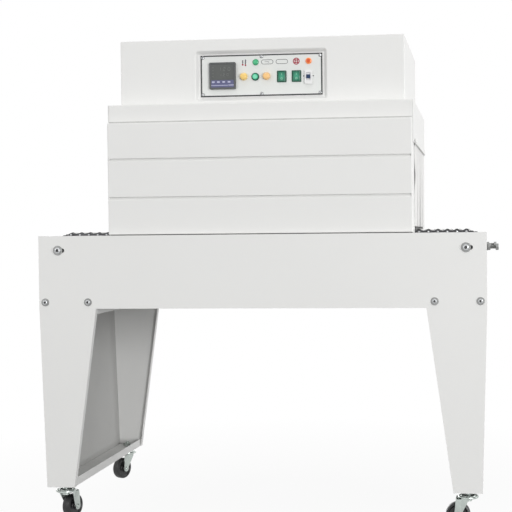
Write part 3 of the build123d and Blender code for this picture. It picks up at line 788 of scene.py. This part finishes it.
def curtain(node, outward, chance):
    """One curtain of separate strips, each with its own slight sway and curl."""
    low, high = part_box(node)
    face = (low[0] + high[0]) / 2
    pitch = (high[1] - low[1]) / STRIPS
    drop = high[2] - low[2]
    shape = bmesh.new()
    for strip in range(STRIPS):
        left = low[1] + strip * pitch + SLIT / 2
        sway = chance.uniform(-1, 1) * SWAY
        curl = chance.uniform(0.3, 1) * CURL
        twist = chance.uniform(-1, 1) * TWIST
        rows = []
        for row in range(STRIP_ROWS + 1):
            fall = row / STRIP_ROWS
            free = fall ** 1.6
            line = []
            for column in range(STRIP_COLUMNS + 1):
                across = 2 * column / STRIP_COLUMNS - 1
                bow = (sway * math.sin(2.2 * fall) + twist * across) * free + curl * across * across * free
                if (strip, column) in ((0, 0), (STRIPS - 1, STRIP_COLUMNS)):
                    bow -= EDGE_TUCK * min(1, abs(fall - EDGE_GAP) * 6) * min(1, fall * 12)
                y = left + (across + 1) / 2 * (pitch - SLIT)
                line.append(shape.verts.new((face + outward * bow, y, high[2] - fall * drop)))
            rows.append(line)
        sheet_faces(shape, rows)
    piece = place_piece(node + "_strips", shape, cloth, stands_for=node)


cloth = curtain_cloth()
curtain("right_curtain", 1, random.Random(11))
curtain("left_curtain", -1, random.Random(29))
dress("curtain_rails", tunnel_paint)
rail_low, rail_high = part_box("curtain_rails")
lugs = bmesh.new()
rim = in_mm([(8, 0), (8, 2.4), (7.4, 3), (3.2, 3), (2.8, 3.6)])
for way in (-1, 1):
    for side in (-1, 1):
        lug_y = side * (rail_high[1] + LUG_OUTSET)
        lug = (way * (rail_high[0] - LUG_INSET), lug_y, (rail_low[2] + rail_high[2]) / 2)
        turned(lugs, rim, facing(lug, (way, 0, 0)), sides=28)
place_piece("curtain_rail_lugs", lugs, tunnel_paint)


# Control box
# A folded housing on the tunnel's roof holds the wiring. Its front is pressed in round the control panel,
# with soft sloping sides and rounded corners, and its edges are folded to a small radius.
POCKET = (362 * MM, 139 * MM)
POCKET_Z = 1203 * MM
POCKET_DEPTH, POCKET_SLOPE, POCKET_CORNER, POCKET_FLOOR_CORNER = 9 * MM, 12 * MM, 11 * MM, 1.5 * MM
POCKET_LEVELS, CORNER_STEPS = 10, 6
BOX_FOLD = 2.4 * MM


def rounded_ring(half_width, half_height, radius, steps):
    """Points round a rectangle with rounded corners, corner by corner, starting at the upper right one."""
    points = []
    for x, y, start in ((1, 1, 0), (-1, 1, 90), (-1, -1, 180), (1, -1, 270)):
        points += arc(x * (half_width - radius), y * (half_height - radius), radius, start, start + 90, steps)
    return points


def box_housing(node):
    """The housing, with its pocket pressed in along a soft curve."""
    low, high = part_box(node)
    shape = bmesh.new()
    rings = []
    for level in range(POCKET_LEVELS + 1):
        share = level / POCKET_LEVELS
        inset = POCKET_SLOPE * share
        depth = POCKET_DEPTH * (3 - 2 * share) * share ** 2
        radius = max(POCKET_CORNER - inset, POCKET_FLOOR_CORNER)
        outline = rounded_ring(POCKET[0] / 2 - inset, POCKET[1] / 2 - inset, radius, CORNER_STEPS)
        rings.append([shape.verts.new((x, low[1] + depth, POCKET_Z + z)) for x, z in outline])
    loft(shape, rings, closed=False)
    shape.faces.new(rings[-1])
    corners = ((high[0], high[2]), (low[0], high[2]), (low[0], low[2]), (high[0], low[2]))
    front = [shape.verts.new((x, low[1], z)) for x, z in corners]
    back = [shape.verts.new((x, high[1], z)) for x, z in corners]
    shape.faces.new(back)
    mouth = rings[0]
    for c in range(4):
        d = (c + 1) % 4
        first = c * (CORNER_STEPS + 1)
        last = first + CORNER_STEPS
        for i in range(first, last):
            shape.faces.new((front[c], mouth[i], mouth[i + 1]))
        shape.faces.new((front[c], mouth[last], mouth[(last + 1) % len(mouth)], front[d]))
        shape.faces.new((front[c], front[d], back[d], back[c]))
    folds = [edge for edge in shape.edges if all(vertex in front + back for vertex in edge.verts)]
    ease_edges(shape, folds, BOX_FOLD, 3)
    keep_flat(place_piece(node + "_housing", shape, tunnel_paint, stands_for=node))


box_housing("control_box")


# Control panel
# A flat sheet metal plate with a printed satin foil on it. Six small zinc plated screws hold it in the
# pocket, over a dark sealing strip that shows all round its edge.
SEAL_WIDTH, SEAL_SINK, SEAL_DEPTH = 3.2, 1.6, 2.2
SCREW_INSET = 4
# The near-black ring under each panel screw is painted shade.
SCREW_SHADE_RING = [(4.7, 0), (4.7, 0.5), (3.4, 0.5)]
SCREW_HEAD = [(4, 0.4), (3.8, 1.3), (2.8, 2.1), (0.9, 2.4)]
SLOT_TURN = 0.5
panel_low, panel_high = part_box("control_panel")
PANEL_FACE = panel_low[1]
PANEL_X = (panel_low[0] + panel_high[0]) / 2
PANEL_Z = (panel_low[2] + panel_high[2]) / 2


def on_panel(x, z, raised=0.0):
    """A transform at a place on the panel, in millimetres from its middle, facing the operator."""
    place = (PANEL_X + x * MM, PANEL_FACE - raised * MM, PANEL_Z + z * MM)
    return Matrix.Translation(place) @ Matrix.Rotation(math.pi / 2, 4, "X")


def slab(shape, where, width, height, depth, corner=0.0, ease=0.0):
    """A flat block with rounded corners and eased front edges, standing on a surface, in millimetres."""
    levels = [(0, 0), (depth - ease, 0), (depth, ease)] if ease else [(0, 0), (depth, 0)]
    rings = []
    for level, inset in levels:
        outline = rounded_ring(width / 2 - inset, height / 2 - inset, max(corner - inset, 0.01), 4)
        rings.append(ring_of(shape, where, outline, level))
    loft(shape, rings)


dress("control_panel", moulded("panel_foil", (0.735, 0.75, 0.735), 0.35, shade=0.985, broad=6, bump=0.05))
seal_and_screw_shade = coat("seal_and_screw_shade", (0.03, 0.032, 0.034), shade=0.7, fine=1200, broad=40, rough=0.6, bump=0.3)
seal = bmesh.new()
half_width = (panel_high[0] - panel_low[0]) / MM / 2
half_height = (panel_high[2] - panel_low[2]) / MM / 2
for side in (-1, 1):
    lying = on_panel(0, side * (half_height + 0.1), -SEAL_SINK)
    slab(seal, lying, 2 * half_width + SEAL_WIDTH, SEAL_WIDTH, SEAL_DEPTH)
    upright = on_panel(side * (half_width + 0.1), 0, -SEAL_SINK)
    slab(seal, upright, SEAL_WIDTH, 2 * half_height + SEAL_WIDTH, SEAL_DEPTH)
place_piece("panel_seal", seal, seal_and_screw_shade)

# Each screw sits in a near-black ring and has a near-black cross through its head: painted shade for the
# shadow round the screw and in its cross recess.
panel_screws, screw_shades = bmesh.new(), bmesh.new()
for x in (-half_width + SCREW_INSET, 1, half_width - SCREW_INSET):
    for z in (-half_height + SCREW_INSET, half_height - SCREW_INSET):
        seat = on_panel(x, z, 0.1)
        turned(screw_shades, in_mm(SCREW_SHADE_RING), seat)
        turned(panel_screws, in_mm(SCREW_HEAD), seat)
        for turn in (SLOT_TURN, SLOT_TURN + math.pi / 2):
            slab(screw_shades, seat @ Matrix.Rotation(turn, 4, "Z"), 4.6, 0.9, 2.45)
place_piece("panel_screws", panel_screws, zinc_plate)
place_piece("panel_screw_shades", screw_shades, seal_and_screw_shade)


# Panel signs
# Printed on the foil: two thermometers for the temperature, two outlined fields for the motors, and a
# four-bladed wheel for the fan. They are plain generic signs, in dark grey and dark red ink.
INK_LIFT, INK = 0.03, 0.12
SIGN_Z = 35
FIELDS_X = (16.6, 56.5)
FAN_X, FAN_RING, FAN_LINE = 95.6, 18.5, 2.6


def ring_line(shape, where, length, height, line):
    """A printed outline with round ends; equal length and height give a circle."""
    side = (length - height) / 2
    rings = []
    for reach in (height / 2, height / 2 - line):
        outline = arc(side, 0, reach, -90, 90, 16) + arc(-side, 0, reach, 90, 270, 16)
        rings.append(ring_of(shape, where, outline, INK))
    loft(shape, rings, closed=False)


def mark(shape, x, z, width, height, corner=0.0):
    """A printed bar or dot on the panel."""
    slab(shape, on_panel(x, z, INK_LIFT), width, height, INK, corner)


def ink(name, colour):
    """Printing ink on the foil."""
    return coat(name, colour, shade=0.8, fine=2000, broad=60, rough=0.5, bump=0.05)


dark_signs, red_signs = bmesh.new(), bmesh.new()
for x, tall in ((-50.5, 15), (-42.8, 18)):
    mark(dark_signs, x, SIGN_Z + 1.5, 2.8, tall - 5, corner=1.3)
    mark(red_signs, x, SIGN_Z + 1.5 - tall / 2, 5, 5, corner=2.5)
    for tick in range(3):
        mark(dark_signs, x + 2.6, SIGN_Z + 3 * tick, 1.4, 0.5)
for x in FIELDS_X:
    ring_line(dark_signs, on_panel(x, SIGN_Z, INK_LIFT), 33, 12.5, 1.3)
fan = on_panel(FAN_X, SIGN_Z, INK_LIFT)
ring_line(red_signs, fan, FAN_RING, FAN_RING, FAN_LINE)
for turn in range(4):
    petal = fan @ Matrix.Rotation(math.pi / 4 + turn * math.pi / 2, 4, "Z")
    slab(red_signs, petal @ Matrix.Translation((4 * MM, 0, 0)), 4.8, 5, INK, corner=1.8)
mark(dark_signs, 14, SIGN_Z + 0.6, 9, 0.9)
mark(dark_signs, 20, SIGN_Z - 0.4, 3, 1.6)
for x in (115.5, 141.5):
    mark(dark_signs, x, -5, 3.2, 3.2, corner=0.8)
place_piece("dark_panel_signs", dark_signs, ink("grey_ink", (0.09, 0.09, 0.1)))
place_piece("red_panel_signs", red_signs, ink("red_ink", (0.34, 0.025, 0.05)))


# Temperature controller
# A square panel instrument in dark grey plastic. Behind its window are two rows of unlit figures, and a
# blue band below carries four small keys over a pale line.
BAR_WIDTH, BAR_LINE = 0.55, 0.13
controller_low, controller_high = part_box("temperature_controller")
CONTROLLER_X = ((controller_low[0] + controller_high[0]) / 2 - PANEL_X) / MM
CONTROLLER_Z = ((controller_low[2] + controller_high[2]) / 2 - PANEL_Z) / MM
FACE_LIFT = (controller_high[1] - controller_low[1]) / MM - 1
SEGMENTS = {"a": (0, 1, 1), "g": (0, 0, 1), "d": (0, -1, 1), "b": (1, 0.5, 0), "c": (1, -0.5, 0)}
SEGMENTS.update({"f": (-1, 0.5, 0), "e": (-1, -0.5, 0)})


def on_controller(x, z, raised=0.0):
    """A transform at a place on the controller's face."""
    return on_panel(CONTROLLER_X + x, CONTROLLER_Z + z, FACE_LIFT + raised)


def figure(shape, x, z, height, letters):
    """One seven-segment figure, drawn by the letters of its bars."""
    width, bar = BAR_WIDTH * height, BAR_LINE * height
    for letter in letters:
        across, up, flat = SEGMENTS[letter]
        place = on_controller(x + across * width / 2, z + up * (height - bar) / 2, 0.25)
        long = width - bar if flat else (height - 3 * bar) / 2
        slab(shape, place, long if flat else bar, bar if flat else long, 0.1)


case_plastic = coat(
    "case_plastic", (0.085, 0.09, 0.092), shade=0.85, fine=1400, broad=30, rough=0.48, bump=0.3
)
eased("temperature_controller", "controller_case", 0.5 * MM, case_plastic)
window, figures, band, keys = bmesh.new(), bmesh.new(), bmesh.new(), bmesh.new()
slab(window, on_controller(0, 10, 0.02), 60, 40, 0.2, corner=1.5)
for row, (z, height) in enumerate(((18, 10), (2.5, 7.5))):
    for i, letters in enumerate(("bc", "abged", "abcdef")):
        figure(figures, (i - 0.6) * (13 - 3 * row), z, height, letters)
for i in range(4):
    slab(figures, on_controller(-26, 22 - 8 * i, 0.25), 3.2, 1.0, 0.1)
slab(band, on_controller(0, -22.2, 0.02), 68, 20.6, 0.3, corner=1.0)
for x in (-25, -11, 3.5, 18):
    slab(keys, on_controller(x, -16.8, 0.3), 7.5, 4.2, 0.9, corner=1.2, ease=0.3)
slab(keys, on_controller(-8, -25.8, 0.3), 46, 1.5, 0.12)
slab(keys, on_controller(24, -25.4, 0.3), 16, 2.1, 0.12)
window_plastic = moulded("window_plastic", (0.085, 0.092, 0.088), 0.22, broad=20, bump=0.05, clear=0.4)
band_foil = moulded("band_foil", (0.105, 0.11, 0.22), 0.4, shade=0.85, broad=30)
place_piece("controller_window", window, window_plastic)
place_piece("controller_figures", figures, coat("unlit_figures", (0.14, 0.15, 0.145)))
place_piece("controller_band", band, band_foil)
key_plastic = coat("key_plastic", (0.5, 0.51, 0.66), rough=0.42, bump=0.1)
place_piece("controller_keys", keys, key_plastic)


# Knobs
# Two moulded knobs turn the conveyor's speed and the fan's, one yellow and one peach, each domed with a
# fluted skirt and a pale pointer line.
KNOB_SIDES, FLUTES, FLUTE_DEPTH = 72, 18, 0.35


def seat_of(node):
    """A panel item's place as a transform at its back, and its depth in millimetres."""
    low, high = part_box(node)
    x = ((low[0] + high[0]) / 2 - PANEL_X) / MM
    z = ((low[2] + high[2]) / 2 - PANEL_Z) / MM
    return on_panel(x, z, (PANEL_FACE - high[1]) / MM), (high[1] - low[1]) / MM


def knob(node, material):
    """A domed knob with finger flutes, standing on the panel, and its pointer line."""
    base, tall = seat_of(node)
    shape = bmesh.new()
    profile = [(10.3, 0), (10.4, 0.8), (9.9, 1.6), (9.4, tall - 5.2), (9.0, tall - 3.2)]
    profile += [(8.1, tall - 1.5), (6.4, tall - 0.5), (3.8, tall - 0.05), (1.2, tall)]
    rings = []
    for radius, level in profile:
        points = []
        for i in range(KNOB_SIDES):
            angle = 2 * math.pi * i / KNOB_SIDES
            reach = radius + (FLUTE_DEPTH * math.cos(FLUTES * angle) if 1.2 < level < tall - 2.5 else 0)
            points.append((reach * math.cos(angle), reach * math.sin(angle)))
        rings.append(ring_of(shape, base, points, level))
    loft(shape, rings)
    place_piece(node + "_moulding", shape, material, node, stands_for=node)
    line = bmesh.new()
    slab(line, base @ Matrix.Translation((0, 4.6 * MM, (tall - 1.0) * MM)), 1.2, 6.5, 0.75, corner=0.5)
    place_piece(node + "_pointer", line, pointer_white, body=node)


pointer_white = coat("pointer_white", (0.85, 0.84, 0.8), bump=0.05)
knob("left_knob", moulded("knob_yellow", (0.93, 0.64, 0.2), 0.35, shade=0.93))
knob("right_knob", moulded("knob_peach", (0.94, 0.58, 0.24), 0.35, shade=0.93))


# Lamps
# Two indicator lamps, one green and one orange. Each is a domed lens in a thin flange, coloured right
# through, with a lighter middle where the bulb sits close behind it.
def lens_group():
    """A round patch of a second colour in the middle of a piece, as seen from the front."""
    wanted = {"Middle": (1, 1, 1, 1), "Rim": (0, 0, 0, 1), "Inner": 0.1, "Outer": 0.45}
    tree, start, end = group_of("lens_glow", wanted, ["Colour"])
    place = add_node(tree, "TexCoord")
    centred = fill(add_node(tree, "VectorMath", operation="SUBTRACT"), {1: (0.5, 0.5, 0.5)})
    flat = fill(add_node(tree, "VectorMath", operation="MULTIPLY"), {1: (1, 0, 1)})
    far = add_node(tree, "VectorMath", operation="LENGTH")
    share = add_node(tree, "MapRange", interpolation_type="SMOOTHSTEP")
    tone = add_node(tree, "Mix", data_type="RGBA")
    wire(
        tree,
        (place, "Generated", centred, 0),
        (centred, "Vector", flat, 0),
        (flat, "Vector", far, 0),
        (far, "Value", share, "Value"),
        (start, "Inner", share, "From Min"),
        (start, "Outer", share, "From Max"),
        (share, "Result", tone, "Factor"),
        (start, "Middle", tone, "A"),
        (start, "Rim", tone, "B"),
        (tone, "Result", end, "Colour"),
    )
    return tree


LENS = lens_group()


def lens_plastic(name, middle, rim, inner=0.05, outer=0.45, rough=0.25, glow=0.0):
    """Coloured translucent plastic with a lighter middle."""
    material = moulded(name, rim, rough, shade=0.96, bump=0.05, clear=0.3)
    tree = material.node_tree
    shader = fill(shader_of(material), {"Emission Strength": glow})
    patch = add_node(tree, "Group", node_tree=LENS, Middle=(*middle, 1), Rim=(*rim, 1))
    fill(patch, {"Inner": inner, "Outer": outer})
    wire(tree, (patch, "Colour", shader, "Base Color"), (patch, "Colour", shader, "Emission Color"))
    return material


def lamp(node, material, slot):
    """A domed lens with its flange."""
    seat, tall = seat_of(node)
    shape = bmesh.new()
    profile = [(8.5, 0), (8.5, 0.9), (8.2, 1.2), (7.5, 1.2), (7.4, tall - 2), (6.9, tall - 1.1)]
    profile += [(5.6, tall - 0.45), (3.4, tall - 0.1), (1, tall)]
    turned(shape, in_mm(profile), seat, sides=40)
    place_piece(node + "_lens", shape, material, stands_for=node)


green_lens = lens_plastic("green_lens", (0.07, 0.48, 0.22), (0.015, 0.3, 0.13), glow=0.1)
orange_lens = lens_plastic("orange_lens", (0.62, 0.075, 0.006), (0.93, 0.32, 0.09), 0.26, 0.42, glow=0.1)
lamp("green_lamp", green_lens, "green_plastic")
lamp("orange_lamp", orange_lens, "orange_plastic")


# Push-button and switch frames
# The green push-button sits in a dark green ring nut, and each rocker in a dark green snap-in frame with
# rounded corners and a bevelled lip.
ROCKERS = ("left_rocker", "right_rocker")
FRAME_WIDTH, FRAME_HEIGHT, FRAME_DEPTH, FRAME_WALL, FRAME_CORNER = 25.5, 31, 2.5, 2.6, 1.8
RING_NUT = [(8.2, 0), (10.5, 0), (10.5, 2.6), (10.1, 3.3), (9.3, 4), (8.6, 4), (8.2, 3.4), (8.2, 0)]


def frame_ring(shape, where):
    """A rectangular frame with rounded corners and a bevelled lip."""
    profile = [(0, 0), (0, FRAME_DEPTH - 0.6), (0.6, FRAME_DEPTH), (FRAME_WALL - 0.8, FRAME_DEPTH)]
    profile += [(FRAME_WALL, FRAME_DEPTH - 1.2), (FRAME_WALL, 0)]
    rings = []
    for inset, level in profile:
        radius = max(FRAME_CORNER - inset, 0.3)
        outline = rounded_ring(FRAME_WIDTH / 2 - inset, FRAME_HEIGHT / 2 - inset, radius, 4)
        rings.append(ring_of(shape, where, outline, level))
    loft(shape, rings + rings[:1], closed=False)


pivots = {joint["name"]: joint for joint in frame["joints"]}
frames = bmesh.new()
rocker_seats = {}
for node in ROCKERS:
    x, y, z = pivots[node + "_rock"]["pos_m"]
    x, z = (x - PANEL_X) / MM, (z - PANEL_Z) / MM
    rocker_seats[node] = on_panel(x, z, (PANEL_FACE - y) / MM)
    frame_ring(frames, on_panel(x, z))
button_seat, button_depth = seat_of("start_button")
ring_seat = lift(button_seat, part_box("start_button")[1][1] - PANEL_FACE)
turned(frames, in_mm(RING_NUT), ring_seat, sides=48, closed=False)
frame_green = moulded("frame_green", (0.006, 0.095, 0.055), 0.32)
place_piece("switch_frames", frames, frame_green, stands_for="switch_bezels")

button = bmesh.new()
cap = [(7.9, 0), (7.95, button_depth - 1), (7.6, button_depth - 0.3), (6.6, button_depth)]
cap += [(5.4, button_depth - 0.15), (3, button_depth - 0.4), (0.6, button_depth - 0.5)]
turned(button, in_mm(cap), button_seat, sides=40)
mint = lens_plastic("button_mint", (0.2, 0.72, 0.47), (0.03, 0.42, 0.22), 0.25, 0.45, rough=0.35)
place_piece("start_button_cap", button, mint, "start_button", stands_for="start_button")


# Rockers
# Two green rocker caps with dished faces, each with a bar above and a ring below as the plain signs for on
# and off. A lamp inside lights the middle of each.
ROCKER_WIDTH, ROCKER_HEIGHT, ROCKER_TILT = 19, 25, 7
ROCKER_EDGE, ROCKER_MIDDLE, ROCKER_BACK = 3.4, 2.2, 0.6
ROCKER_COLUMNS, ROCKER_ROWS = 24, 36
SIGN_REACH, SIGN_TILT = 5.6, 0.13


def rocker_level(x, y):
    """Height of the rocker's face above its pivot plane, in millimetres."""
    along = abs(2 * y / ROCKER_HEIGHT)
    rim = max(0, abs(2 * x / ROCKER_WIDTH) - 0.93) / 0.07
    end = max(0, along - 0.95) / 0.05
    return ROCKER_MIDDLE + (ROCKER_EDGE - ROCKER_MIDDLE) * along ** 1.3 - 0.35 * max(rim, end) ** 2


def rocker_cap(node):
    """A rocker cap at its rest tilt, with its signs."""
    tip = rocker_seats[node] @ Matrix.Rotation(math.radians(ROCKER_TILT), 4, "X")
    shape = bmesh.new()
    xs = [(column / ROCKER_COLUMNS - 0.5) * ROCKER_WIDTH for column in range(ROCKER_COLUMNS + 1)]
    ys = [(row / ROCKER_ROWS - 0.5) * ROCKER_HEIGHT for row in range(ROCKER_ROWS + 1)]
    face = [[shape.verts.new(tip @ (Vector((x, y, rocker_level(x, y))) * MM)) for x in xs] for y in ys]
    sheet_faces(shape, face)
    edge = face[0] + [line[-1] for line in face[1:]] + face[-1][-2::-1] + [line[0] for line in face[-2:0:-1]]
    outline = [(x, ys[0]) for x in xs] + [(xs[-1], y) for y in ys[1:]]
    outline += [(x, ys[-1]) for x in xs[-2::-1]] + [(xs[0], y) for y in ys[-2:0:-1]]
    back = ring_of(shape, tip, outline, ROCKER_BACK)
    loft(shape, [edge, back], closed=False)
    shape.faces.new(back)
    place_piece(node + "_cap", shape, rocker_green, node, stands_for=node)
    signs = bmesh.new()
    for way in (-1, 1):
        y = way * SIGN_REACH
        seat = tip @ Matrix.Translation((0, y * MM, (rocker_level(0, y) - 0.02) * MM))
        seat = seat @ Matrix.Rotation(math.atan(way * SIGN_TILT), 4, "X")
        if way > 0:
            slab(signs, seat, 1.1, 6, 0.12, corner=0.3)
        else:
            ring_line(signs, lift(seat, 0.02 * MM), 5.6, 5.6, 1.0)
    place_piece(node + "_signs", signs, sign_green, body=node)


rocker_green = lens_plastic("rocker_green", (0.045, 0.33, 0.2), (0.008, 0.15, 0.085), 0.05, 0.55, rough=0.3)
sign_green = coat("sign_green", (0.33, 0.62, 0.46), bump=0.05)
for node in ROCKERS:
    rocker_cap(node)


# Breaker
# A small white circuit breaker, moulded in two halves and snapped in from behind. Its dark blue toggle stands
# out of the window and is moulded with finger ribs.
RIB_PITCH = 2.2
toggle_seat, toggle_depth = seat_of("breaker_toggle")
toggle = bmesh.new()
slab(toggle, toggle_seat, 10, 10, toggle_depth - 1.2, corner=0.8, ease=0.3)
for i in range(4):
    rib = Matrix.Translation((0, (i - 1.5) * RIB_PITCH * MM, 1 * MM))
    slab(toggle, toggle_seat @ rib, 9, 1.1, toggle_depth - 1, corner=0.3, ease=0.2)
breaker_white = moulded("breaker_white", (0.8, 0.8, 0.8), 0.4, shade=0.97, broad=40)
toggle_blue = moulded("toggle_blue", (0.012, 0.045, 0.13), 0.35)
eased("breaker_body", "breaker_case", 0.7 * MM, breaker_white)
node = "breaker_toggle"
place_piece("breaker_lever", toggle, toggle_blue, node, stands_for=node)


# Casters
# Four swivel casters with pressed, zinc plated forks that have a faint green passivation, a rolled rim round
# the ball race, and black rubber tyres on moulded centres. A nut holds each stem in the foot channel.
FORK_BACK, FORK_CREASE, FORK_FRONT, FORK_TOP = 0, 18, 33, 77
FORK_INSIDE, FORK_SHEET, FLANK_TURN, EYE_RADIUS = 33, 2.5, 23, 10
BACK_CORNER, FRONT_CORNER = 6, 2
TRAIL, WHEEL_RADIUS, TREAD, HUB = 27, 32.5, 23, 31
NUT_LEVEL = 99
AXLE_HEAD = [(5.6, 0), (5.6, 1.4), (5.1, 2.4), (3.8, 3.2), (1.8, 3.6), (0.5, 3.7)]
RACE = [(6.1, 74.6), (17, 74.6), (20.5, 75), (24, 75.4), (26.2, 76.4), (27.3, 78.4), (27, 80.6), (25.6, 82.2)]
RACE += [(24.2, 82), (23.4, 80.8), (22.6, 79.4), (20.9, 78.9), (20.6, 81.8), (19.8, 83), (18.4, 83.2)]
RACE += [(17.3, 82.2), (17, 79), (6.1, 78.2), (6.1, 74.6)]
# The two dark race rings are painted: the inner cap is painted shade and painted reflection of the leg's dark
# underside, and the thin outer ring is painted shade in the gap between the race plates.
RACE_SHADE_RINGS = [(6, 78.6), (17, 78.6), (17, 80.6), (11, 81.8), (6, 82)], [(20.7, 79.4), (20.7, 80), (23, 80)]
STEM = [(6, 67.5), (9.5, 67.5), (9.5, 72), (8, 73.5), (6, 73.5), (6, 81.4), (8.4, 81.8)]
STEM += [(8.4, 84.4), (8, 84.8), (6, 84.8), (6, 93.6), (9, 94), (9, 95)]
STEM_END = [(6, 99), (6, 113), (5, 113.8)]


def fork(local):
    """The fork's cheeks, top plate, race and axle, trailing towards the local +X."""
    shape = bmesh.new()
    cheek = [(FORK_CREASE, FORK_TOP), (FORK_FRONT - 3, FORK_TOP), (FORK_FRONT, FORK_TOP - 4)]
    cheek += arc(TRAIL, WHEEL_RADIUS, EYE_RADIUS, 4, -176, 18)
    flank = [(0, FORK_TOP), (0, WHEEL_RADIUS + 2), (FORK_BACK - FORK_CREASE, FORK_TOP - 6)]
    flank.append((FORK_BACK - FORK_CREASE, FORK_TOP))
    outside = FORK_INSIDE / 2 + FORK_SHEET
    upright = local @ Matrix.Rotation(math.pi / 2, 4, "X")
    for way in (-1, 1):
        prism(shape, upright, cheek, *sorted((-way * FORK_INSIDE / 2, -way * outside)))
        crease = upright @ Matrix.Translation((FORK_CREASE * MM, 0, -way * outside * MM))
        turn = Matrix.Rotation(-way * math.radians(FLANK_TURN), 4, "Y")
        prism(shape, crease @ turn, flank, *sorted((0, way * FORK_SHEET)))
        seat = local @ facing(Vector((TRAIL, way * outside, WHEEL_RADIUS)) * MM, (0, way, 0))
        turned(shape, in_mm(AXLE_HEAD), seat)
    back, front, tip = outside - BACK_CORNER, outside - FRONT_CORNER, FORK_FRONT - 3
    plate = arc(FORK_BACK, -back, BACK_CORNER, 180, 270, 5) + arc(tip, -front, FRONT_CORNER, 270, 360, 5)
    plate += arc(tip, front, FRONT_CORNER, 0, 90, 5) + arc(FORK_BACK, back, BACK_CORNER, 90, 180, 5)
    prism(shape, local, plate, FORK_TOP - FORK_SHEET, FORK_TOP)
    turned(shape, in_mm(RACE), local, sides=56, closed=False)
    return shape


def wheel_parts(axle):
    """The tyre and the moulded centre of a wheel, each as a turned form about its axle."""
    tread, hub = TREAD / 2, HUB / 2
    tyre = [(WHEEL_RADIUS, 3), (32.1, tread - 3.6), (31, tread - 1.2), (28.6, tread), (26, tread)]
    tyre.append((25, tread - 1))
    half = [(4.1, hub), (9.6, hub), (10.4, hub - 0.8), (11, tread - 2), (12.5, tread - 3), (22.5, tread - 3)]
    half += [(23.6, tread - 2.2), (25, tread - 1.4)]
    rubber, centre = bmesh.new(), bmesh.new()
    tyre = [(r, -h) for r, h in reversed(tyre)] + tyre
    centre_profile = half + [(r, -h) for r, h in reversed(half)]
    turned(rubber, in_mm(tyre + tyre[:1]), axle, sides=64, closed=False)
    turned(centre, in_mm(centre_profile + half[:1]), axle, sides=64, closed=False)
    return rubber, centre


caster_zinc = coat(
    "caster_zinc", (0.52, 0.57, 0.54), shade=0.72, broad=35, rough=0.3, spread=0.25, bump=0.2, metal=0.9
)
race_painted_shade = coat("race_painted_shade", (0.03, 0.033, 0.033), shade=0.7, broad=40, rough=0.45, bump=0.3)
tyre_rubber = coat(
    "tyre_rubber", (0.011, 0.011, 0.012), shade=0.6, fine=700, broad=30, rough=0.42, spread=0.25, bump=0.35
)
centre_plastic = coat("centre_plastic", (0.008, 0.008, 0.009), shade=0.7, fine=1000, broad=30, rough=0.36)
stems, race_shade_rings = bmesh.new(), bmesh.new()
for name in ("front_left", "front_right", "rear_left", "rear_right"):
    swivel = pivots["caster_swivel_" + name]["pos_m"]
    roll = pivots["caster_roll_" + name]
    heading = math.atan2(roll["pos_m"][1] - swivel[1], roll["pos_m"][0] - swivel[0])
    local = Matrix.Translation((swivel[0], swivel[1], 0)) @ Matrix.Rotation(heading, 4, "Z")
    node = "caster_fork_" + name
    place_piece(node + "_pressing", fork(local), caster_zinc, node, stands_for=node)
    node = "caster_wheel_" + name
    rubber, centre = wheel_parts(facing(roll["pos_m"], roll["axis"]))
    place_piece(node + "_tyre", rubber, tyre_rubber, node, stands_for=node)
    place_piece(node + "_centre", centre, centre_plastic, node, stands_for=node)
    turned(stems, in_mm(STEM), local, sides=32)
    turned(stems, in_mm(STEM_END), local, sides=24)
    nut(stems, lift(local, NUT_LEVEL * MM), 10.9 * MM, 10 * MM, 6 * MM)
    for shade_ring in RACE_SHADE_RINGS:
        turned(race_shade_rings, in_mm(shade_ring), local, sides=40, closed=False)
place_piece("caster_stem_turnings", stems, caster_zinc, stands_for="caster_stems")
# Dark race rings: painted shade and painted reflection.
place_piece("caster_race_shade_rings", race_shade_rings, race_painted_shade)
